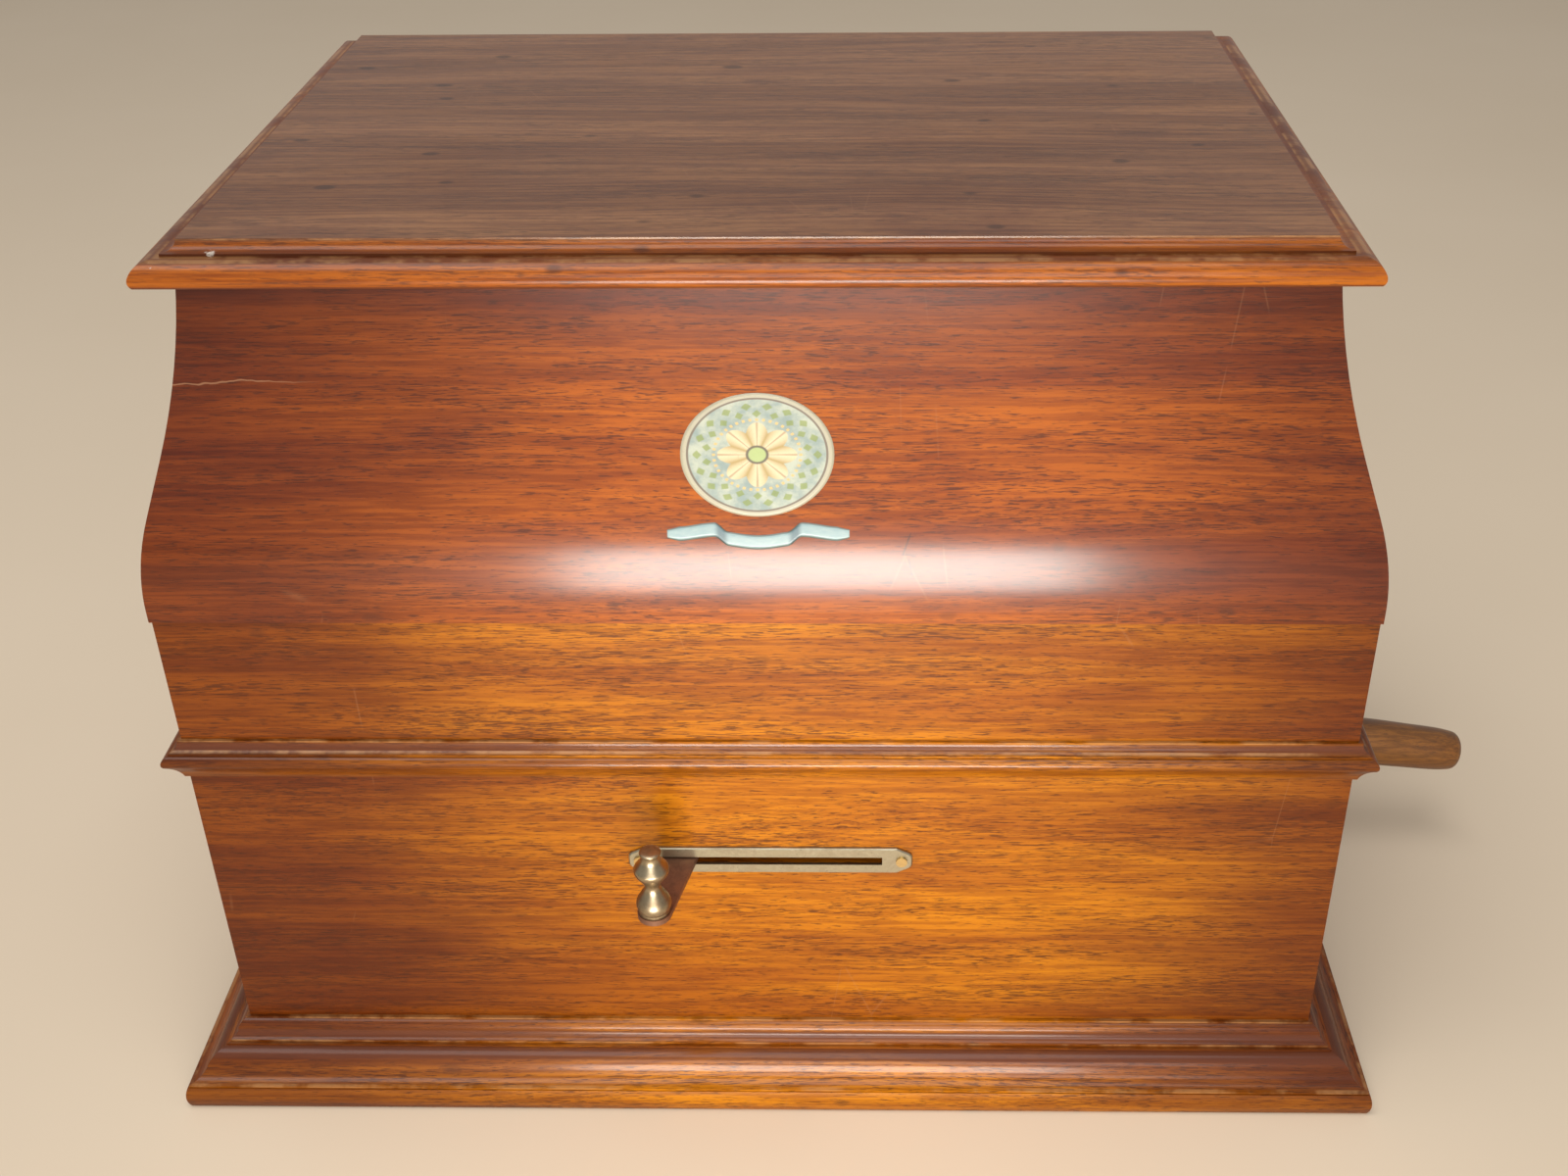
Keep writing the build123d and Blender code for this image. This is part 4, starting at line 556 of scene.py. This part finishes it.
def metalMaterial(spec):
    mat, tree, shader = newMaterial(spec["name"])
    surface = addGroup(tree, tarnishGroup, objectPlace(tree))
    surface.inputs["Size"].default_value = spec.get("size", 1.0)
    cloud, freckles, brushed = (surface.outputs[n] for n in ("Cloud", "Freckles", "Brushed"))
    tarnish = scaled(tree, cloud, spec.get("cloud", 0.6))
    color = mixColor(tree, tarnish, rgb(*spec["base"]), rgb(*spec["worn"]))
    deepest = rgb(*[c * 0.25 for c in spec["worn"]])
    color = mixColor(tree, scaled(tree, freckles, 0.4), color, deepest)
    tree.links.new(color, shader.inputs["Base Color"])
    rough = maths(tree, "ADD", spec["rough"], scaled(tree, cloud, 0.18))
    rough = maths(tree, "ADD", rough, scaled(tree, brushed, 0.08), clamp=True)
    tree.links.new(rough, shader.inputs["Roughness"])
    addBump(tree, shader, maths(tree, "ADD", brushed, freckles), 0.06, 0.0002)
    shader.inputs["Metallic"].default_value = spec.get("metallic", 1.0)
    return mat


metals = {
    "agedNickel": {
        "base": (0.43, 0.39, 0.28), "worn": (0.22, 0.175, 0.11), "rough": 0.26, "cloud": 0.75,
        "pieces": ("lever_plate", "crank_escutcheon", "crank", "tonearm", "tonearm_base", "soundbox"),
    },
    "knobNickel": {
        "base": (0.42, 0.345, 0.225), "worn": (0.19, 0.13, 0.075), "rough": 0.24, "cloud": 0.8,
        "pieces": ("lever_knob",),
    },
    "bronzed": {
        "base": (0.22, 0.105, 0.060), "worn": (0.10, 0.045, 0.028), "rough": 0.38, "metallic": 0.7,
        "pieces": ("speed_lever",),
    },
    "turnedSteel": {
        "base": (0.52, 0.52, 0.50), "worn": (0.34, 0.33, 0.31), "rough": 0.24, "cloud": 0.4,
        "pieces": (
            "case_screws", "lid_hinge_screws", "motor_bolts", "spindle", "spring_arbor",
            "winding_arbor", "governor_shaft", "stylus_bar", "winding_wheel",
        ),
    },
    "bluedSteel": {
        "base": (0.10, 0.13, 0.22), "worn": (0.16, 0.14, 0.13), "rough": 0.26,
        "pieces": ("mainspring",),
    },
    "gearBrass": {
        "base": (0.72, 0.52, 0.20), "worn": (0.45, 0.29, 0.10), "rough": 0.24, "cloud": 0.5,
        "pieces": (
            "spring_barrel", "barrel_cover", "intermediate_gear", "governor_wheel",
            "governor_disc", "governor_weights",
        ),
    },
    "oldBrass": {
        "base": (0.55, 0.38, 0.15), "worn": (0.24, 0.15, 0.07), "rough": 0.30,
        "pieces": (
            "hinge_base_leaves", "hinge_lid_leaves", "hinge_pins", "sound_grille", "plate_screws",
        ),
    },
    "japanned": {
        "base": (0.022, 0.021, 0.020), "worn": (0.060, 0.055, 0.050), "rough": 0.30,
        "metallic": 0.0, "size": 0.5,
        "pieces": (
            "motor_top_plate", "motor_bottom_plate", "motor_pillars", "bearing_brackets",
            "horn_throat",
        ),
    },
    "platterNickel": {
        "base": (0.62, 0.60, 0.54), "worn": (0.45, 0.42, 0.36), "rough": 0.20, "size": 0.5,
        "pieces": ("turntable",),
    },
    "paleAlloy": {
        "base": (0.70, 0.70, 0.68), "worn": (0.52, 0.52, 0.50), "rough": 0.42,
        "pieces": ("diaphragm",),
    },
}
for metal, spec in metals.items():
    mat = metalMaterial({"name": metal, **spec})
    for name in spec["pieces"]:
        dress(name, mat)
print("metals done")


# Short fibres lying every way, over slow patches of wear
def feltMaterial(spec):
    mat, tree, shader = newMaterial(spec["name"])
    place = objectPlace(tree)
    scale = spec["fibres"]
    fibre = noise(tree, stretch(tree, place, (scale, scale * 0.6, scale)), 1, 4, 0.75, 1.5)
    color = mixColor(tree, ramp(tree, fibre, 0.35, 0.65), rgb(*spec["deep"]), rgb(*spec["pale"]))
    patch = ramp(tree, noise(tree, place, 22, 3), 0.4, 0.7, 0, 0.35)
    color = mixColor(tree, patch, color, rgb(*[c * 1.4 for c in spec["deep"]]))
    tree.links.new(color, shader.inputs["Base Color"])
    addBump(tree, shader, fibre, 0.5, 0.0005)
    shader.inputs["Roughness"].default_value = 0.95
    shader.inputs["Sheen Weight"].default_value = 0.5
    return mat


felts = {
    "turntable_felt": {
        "name": "greenFelt", "pale": (0.050, 0.135, 0.060), "deep": (0.020, 0.060, 0.028),
        "fibres": 900,
    },
    "brake_pad": {
        "name": "padLeather", "pale": (0.30, 0.17, 0.085), "deep": (0.15, 0.08, 0.04),
        "fibres": 1400,
    },
}
for name, spec in felts.items():
    dress(name, feltMaterial(spec))
print("felt done")


# Surface pieces are made whole from arrays of points
def makePiece(name, points, faces, mat, uv=None):
    mesh = bpy.data.meshes.new(name)
    mesh.from_pydata(points.tolist(), [], faces.tolist())
    mesh.polygons.foreach_set("use_smooth", np.ones(len(faces), bool))
    mesh.materials.append(mat)
    if uv is not None:
        layer = mesh.uv_layers.new(name="flat")
        loops = np.empty(len(mesh.loops), int)
        mesh.loops.foreach_get("vertex_index", loops)
        layer.data.foreach_set("uv", uv[loops].ravel())
    piece = bpy.data.objects.new(name, mesh)
    scene.collection.objects.link(piece)
    return piece


# Quads of a grid of points, row by row; closed joins the last column to the first
def gridFaces(rows, columns, closed=False):
    r = np.arange(rows - 1)[:, None] * columns
    c = np.arange(columns if closed else columns - 1)[None, :]
    after = (c + 1) % columns
    quads = np.stack([r + c, r + after, r + columns + after, r + columns + c], -1)
    return quads.reshape(-1, 4)


# The lid's swelling face as distance outwards over height, from the same radii as the solid
bulge = {
    "foot": 0.2503, "overhang": 0.0009, "swell": 0.120, "turn": math.radians(18.5),
    "slope": 0.023, "hollow": 0.320, "half": 0.170,
}


# Arc, then straight slope, then a hollow arc; worked out for whole arrays of heights
def bulgeDepth(z):
    b = bulge
    lean, rest = math.sin(b["turn"]), math.cos(b["turn"])
    swellTop = b["foot"] + b["swell"] * lean
    swellIn = b["overhang"] - b["swell"] * (1 - rest)
    slopeTop = swellTop + b["slope"] * rest
    slopeIn = swellIn - b["slope"] * lean
    arc = np.clip((z - b["foot"]) / b["swell"], 0, lean)
    hollow = np.clip(lean - (z - slopeTop) / b["hollow"], -1, lean)
    out = b["overhang"] - b["swell"] * (1 - np.sqrt(1 - arc**2))
    out = np.where(z > swellTop, swellIn - (z - swellTop) * math.tan(b["turn"]), out)
    return np.where(z > slopeTop, slopeIn - b["hollow"] * (np.sqrt(1 - hollow**2) - rest), out)


# Lay a flat drawing on the bulge, its outer points turned down into the wood
def layOnBulge(name, x, z, raised, faces, mat, uv):
    y = -bulge["half"] - bulgeDepth(z) - raised
    piece = makePiece(name, np.stack([x, y, z], -1).reshape(-1, 3), faces, mat, uv.reshape(-1, 2))
    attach(piece, "lid")
    return piece


# Radii are shares of the medallion's own, from its eye out to its rim
paint = {
    "ground": ((0.19, 0.24, 0.22), (0.34, 0.36, 0.28)),
    "petals": 8, "petalFrom": 0.37, "petalReach": 0.15,
    "petal": ((0.30, 0.21, 0.07), (0.50, 0.42, 0.26)), "vein": (0.22, 0.12, 0.05),
    "eye": (0.30, 0.36, 0.14), "eyeTo": 0.13, "eyeLine": (0.10, 0.08, 0.05), "eyeRing": (0.115, 0.15),
    "leaf": ((0.10, 0.15, 0.06), (0.26, 0.29, 0.10)), "wreath": (0.60, 0.84),
    "leafOut": 26.0, "leafRound": 18,
    "beads": 40, "beadRing": (0.545, 0.585), "bead": (0.48, 0.33, 0.12),
    "line": (0.13, 0.10, 0.07), "lineRing": (0.895, 0.925), "rim": (0.34, 0.31, 0.22),
    "crackle": (0.16, 0.10, 0.06), "crackleScale": 17.0,
}


# A round painted transfer: leaf wreath, beaded ring and an eight-petalled flower
def medallionMaterial(p):
    mat, tree, shader = newMaterial("medallionPaint")
    flat = addNode(tree, "ShaderNodeUVMap", uv_map="flat").outputs[0]
    x, y, _ = splitAxes(tree, flat)
    radius = addNode(tree, "ShaderNodeVectorMath", operation="LENGTH", in_0=flat).outputs["Value"]
    angle = maths(tree, "ARCTAN2", y, x)

    def ring(low, high, soft=0.012):
        inside = ramp(tree, radius, low - soft, low + soft)
        return scaled(tree, inside, ramp(tree, radius, high - soft, high + soft, 1, 0))

    def wave(count):
        return maths(tree, "COSINE", scaled(tree, angle, count))

    # leaf rows wind outwards one way or the other
    def winding(way, low):
        out = scaled(tree, radius, p["leafOut"])
        turned = maths(tree, way, out, scaled(tree, angle, p["leafRound"]))
        return ramp(tree, maths(tree, "SINE", turned), low, 0.3)

    clouds = noise(tree, stretch(tree, flat, (3, 3, 3)), 1, 4, 0.6)
    low, high = p["ground"]
    color = mixColor(tree, ramp(tree, clouds, 0.35, 0.65), rgb(*low), rgb(*high))
    lobes = maths(tree, "ABSOLUTE", wave(p["petals"] / 2))
    petalEdge = maths(tree, "ADD", p["petalFrom"], scaled(tree, lobes, p["petalReach"]))
    petal = ramp(tree, maths(tree, "SUBTRACT", radius, petalEdge), -0.01, 0.01, 1, 0)
    low, high = p["petal"]
    color = mixColor(tree, petal, color, mixColor(tree, lobes, rgb(*low), rgb(*high)))
    vein = scaled(tree, ramp(tree, lobes, 0.985, 1.0), petal)
    color = mixColor(tree, scaled(tree, vein, 0.6), color, rgb(*p["vein"]))
    color = mixColor(tree, ring(-1, p["eyeTo"]), color, rgb(*p["eye"]))
    color = mixColor(tree, ring(*p["eyeRing"]), color, rgb(*p["eyeLine"]))
    leaf = scaled(tree, winding("ADD", -0.3), winding("SUBTRACT", -0.5))
    low, high = p["leaf"]
    leafTone = mixColor(tree, clouds, rgb(*low), rgb(*high))
    color = mixColor(tree, scaled(tree, ring(*p["wreath"]), leaf), color, leafTone)
    beads = scaled(tree, ring(*p["beadRing"]), ramp(tree, wave(p["beads"]), 0.0, 0.5))
    color = mixColor(tree, beads, color, rgb(*p["bead"]))
    color = mixColor(tree, ring(*p["lineRing"], 0.006), color, rgb(*p["line"]))
    color = mixColor(tree, ring(p["lineRing"][1], 2, 0.006), color, rgb(*p["rim"]))
    edges = cells(tree, flat, p["crackleScale"], "DISTANCE_TO_EDGE")
    crackle = scaled(tree, ramp(tree, edges, 0.0, 0.02, 1, 0), 0.25)
    color = mixColor(tree, crackle, color, rgb(*p["crackle"]))
    tree.links.new(color, shader.inputs["Base Color"])
    tree.links.new(ramp(tree, clouds, 0.3, 0.7, 0.32, 0.42), shader.inputs["Roughness"])
    shader.inputs["Coat Weight"].default_value = 0.15
    shader.inputs["Coat Roughness"].default_value = 0.2
    return mat


medallion = {
    "middle": (-0.0005, 0.3120), "radius": (0.0291, 0.0225), "thick": 0.00015,
    "rings": 24, "steps": 96,
}


# Rings of an ellipse laid on the bulge; the last ring repeats the rim lower down
def buildMedallion(m):
    share = np.append(np.linspace(0.0, 1.0, m["rings"]), 1.0)[:, None]
    turn = np.linspace(0, 2 * np.pi, m["steps"], endpoint=False)[None, :]
    uv = np.stack([share * np.cos(turn), share * np.sin(turn)], -1)
    x = m["middle"][0] + m["radius"][0] * uv[..., 0]
    z = m["middle"][1] + m["radius"][1] * uv[..., 1]
    raised = np.full(x.shape, m["thick"])
    raised[-1] = -m["thick"]
    faces = gridFaces(m["rings"] + 1, m["steps"], closed=True)
    return layOnBulge("medallion", x, z, raised, faces, medallionMaterial(paint), uv)


buildMedallion(medallion)
print("medallion done")


# Shaded where the ribbon turns over, with a dark line along both edges
def ribbonMaterial():
    mat, tree, shader = newMaterial("ribbonPaint")
    flat = addNode(tree, "ShaderNodeUVMap", uv_map="flat").outputs[0]
    along, across, _ = splitAxes(tree, flat)
    clouds = noise(tree, stretch(tree, flat, (9, 2, 1)), 1, 4, 0.6)
    color = mixColor(tree, clouds, rgb(0.13, 0.22, 0.24), rgb(0.27, 0.34, 0.32))
    fold = near(tree, maths(tree, "ABSOLUTE", along), 0.40, 0.02, 0.09, 0.85)
    color = mixColor(tree, fold, color, rgb(0.045, 0.085, 0.10))
    rim = ramp(tree, maths(tree, "ABSOLUTE", across), 0.72, 0.92, 0, 0.8)
    color = mixColor(tree, rim, color, rgb(0.07, 0.07, 0.05))
    tree.links.new(color, shader.inputs["Base Color"])
    tree.links.new(ramp(tree, clouds, 0.3, 0.7, 0.34, 0.44), shader.inputs["Roughness"])
    shader.inputs["Coat Weight"].default_value = 0.3
    shader.inputs["Coat Roughness"].default_value = 0.18
    return mat


# Falls start at a share of the half length, and the tips narrow from another
ribbon = {
    "middle": (-0.0005, 0.2822), "half": (0.0350, 0.0027), "drop": 0.0032, "thick": 0.00012,
    "columns": 120, "fallFrom": 0.32, "fallLong": 0.16, "waves": 2.2, "waveShare": 0.25,
    "tipFrom": 0.86, "tipNarrow": 0.45,
}


# Plain strip under the medallion; its middle line steps down smoothly and bows a little
def buildRibbon(r):
    along = np.linspace(-1.0, 1.0, r["columns"])[:, None]
    across = np.array([-1.0, -1.0, -0.5, 0.0, 0.5, 1.0, 1.0])[None, :]
    outer = np.abs(along)
    step = np.clip((outer - r["fallFrom"]) / r["fallLong"], 0, 1)
    fall = step**2 * (3 - 2 * step) - 0.5
    bow = r["waveShare"] * np.cos(r["waves"] * np.pi * along)
    tip = r["tipNarrow"] * (outer - r["tipFrom"]) / (1 - r["tipFrom"])
    narrow = np.where(outer > r["tipFrom"], 1.0 - tip, 1.0)
    uv = np.stack([along + 0 * across, across + 0 * along], -1)
    x = r["middle"][0] + r["half"][0] * uv[..., 0]
    z = r["middle"][1] + r["drop"] * (fall - bow) + r["half"][1] * narrow * across
    raised = np.full(x.shape, r["thick"])
    raised[:, 0] = raised[:, -1] = -r["thick"]
    raised[0] = raised[-1] = -r["thick"]
    faces = gridFaces(r["columns"], across.size)[:, ::-1]
    return layOnBulge("ribbon", x, z, raised, faces, ribbonMaterial(), uv)


buildRibbon(ribbon)
print("ribbon done")


floorSpec = {
    "half": 6.0, "level": -0.0002, "rough": 0.8, "clouds": 3,
    "tones": ((0.64, 0.52, 0.38), (0.69, 0.57, 0.43)),
}


# Pale floor with faint clouds
def floorMaterial(f):
    mat, tree, shader = newMaterial("paleFloor")
    cloud = noise(tree, objectPlace(tree), f["clouds"], 3)
    low, high = f["tones"]
    tree.links.new(mixColor(tree, cloud, rgb(*low), rgb(*high)), shader.inputs["Base Color"])
    shader.inputs["Roughness"].default_value = f["rough"]
    return mat


corners = np.array([(-1, -1), (1, -1), (1, 1), (-1, 1)]) * floorSpec["half"]
floorPoints = np.column_stack([corners, np.full(4, floorSpec["level"])])
floor = makePiece("floor", floorPoints, np.array([[0, 1, 2, 3]]), floorMaterial(floorSpec))


def addLamp(name, spec):
    data = bpy.data.lights.new(name, "AREA")
    data.shape = "RECTANGLE"
    data.size, data.size_y = spec["size"]
    data.energy = spec["power"]
    data.color = spec.get("color", (1, 1, 1))
    data.spread = math.radians(spec.get("spread", 180))
    lamp = bpy.data.objects.new(name, data)
    scene.collection.objects.link(lamp)
    ahead = (Vector(spec["aim"]) - Vector(spec["place"])).normalized()
    lamp.rotation_euler = ahead.to_track_quat("-Z", "Y").to_euler()
    lamp.location = spec["place"]


# The low one gives the bright stripe along the bulge
lamps = {
    "overhead": {
        "place": (-0.3, -0.5, 2.3), "aim": (0, 0, 0.2), "size": (1.8, 1.4), "power": 32,
    },
    "lowFront": {
        "place": (0.01, -0.78, 0.120), "aim": (0.01, -0.17, 0.26), "size": (0.38, 0.20),
        "power": 2.2, "spread": 100, "color": (1.0, 0.95, 0.88),
    },
    "front": {
        "place": (0.10, -2.0, 1.3), "aim": (0, -0.1, 0.15), "size": (1.0, 0.7), "power": 13,
    },
}
for name, spec in lamps.items():
    addLamp(name, spec)
world = bpy.data.worlds.new("studio")
scene.world = world
world.use_nodes = True
world.node_tree.nodes["Background"].inputs["Color"].default_value = (1.0, 0.985, 0.96, 1)
world.node_tree.nodes["Background"].inputs["Strength"].default_value = 0.42
print("stage set")
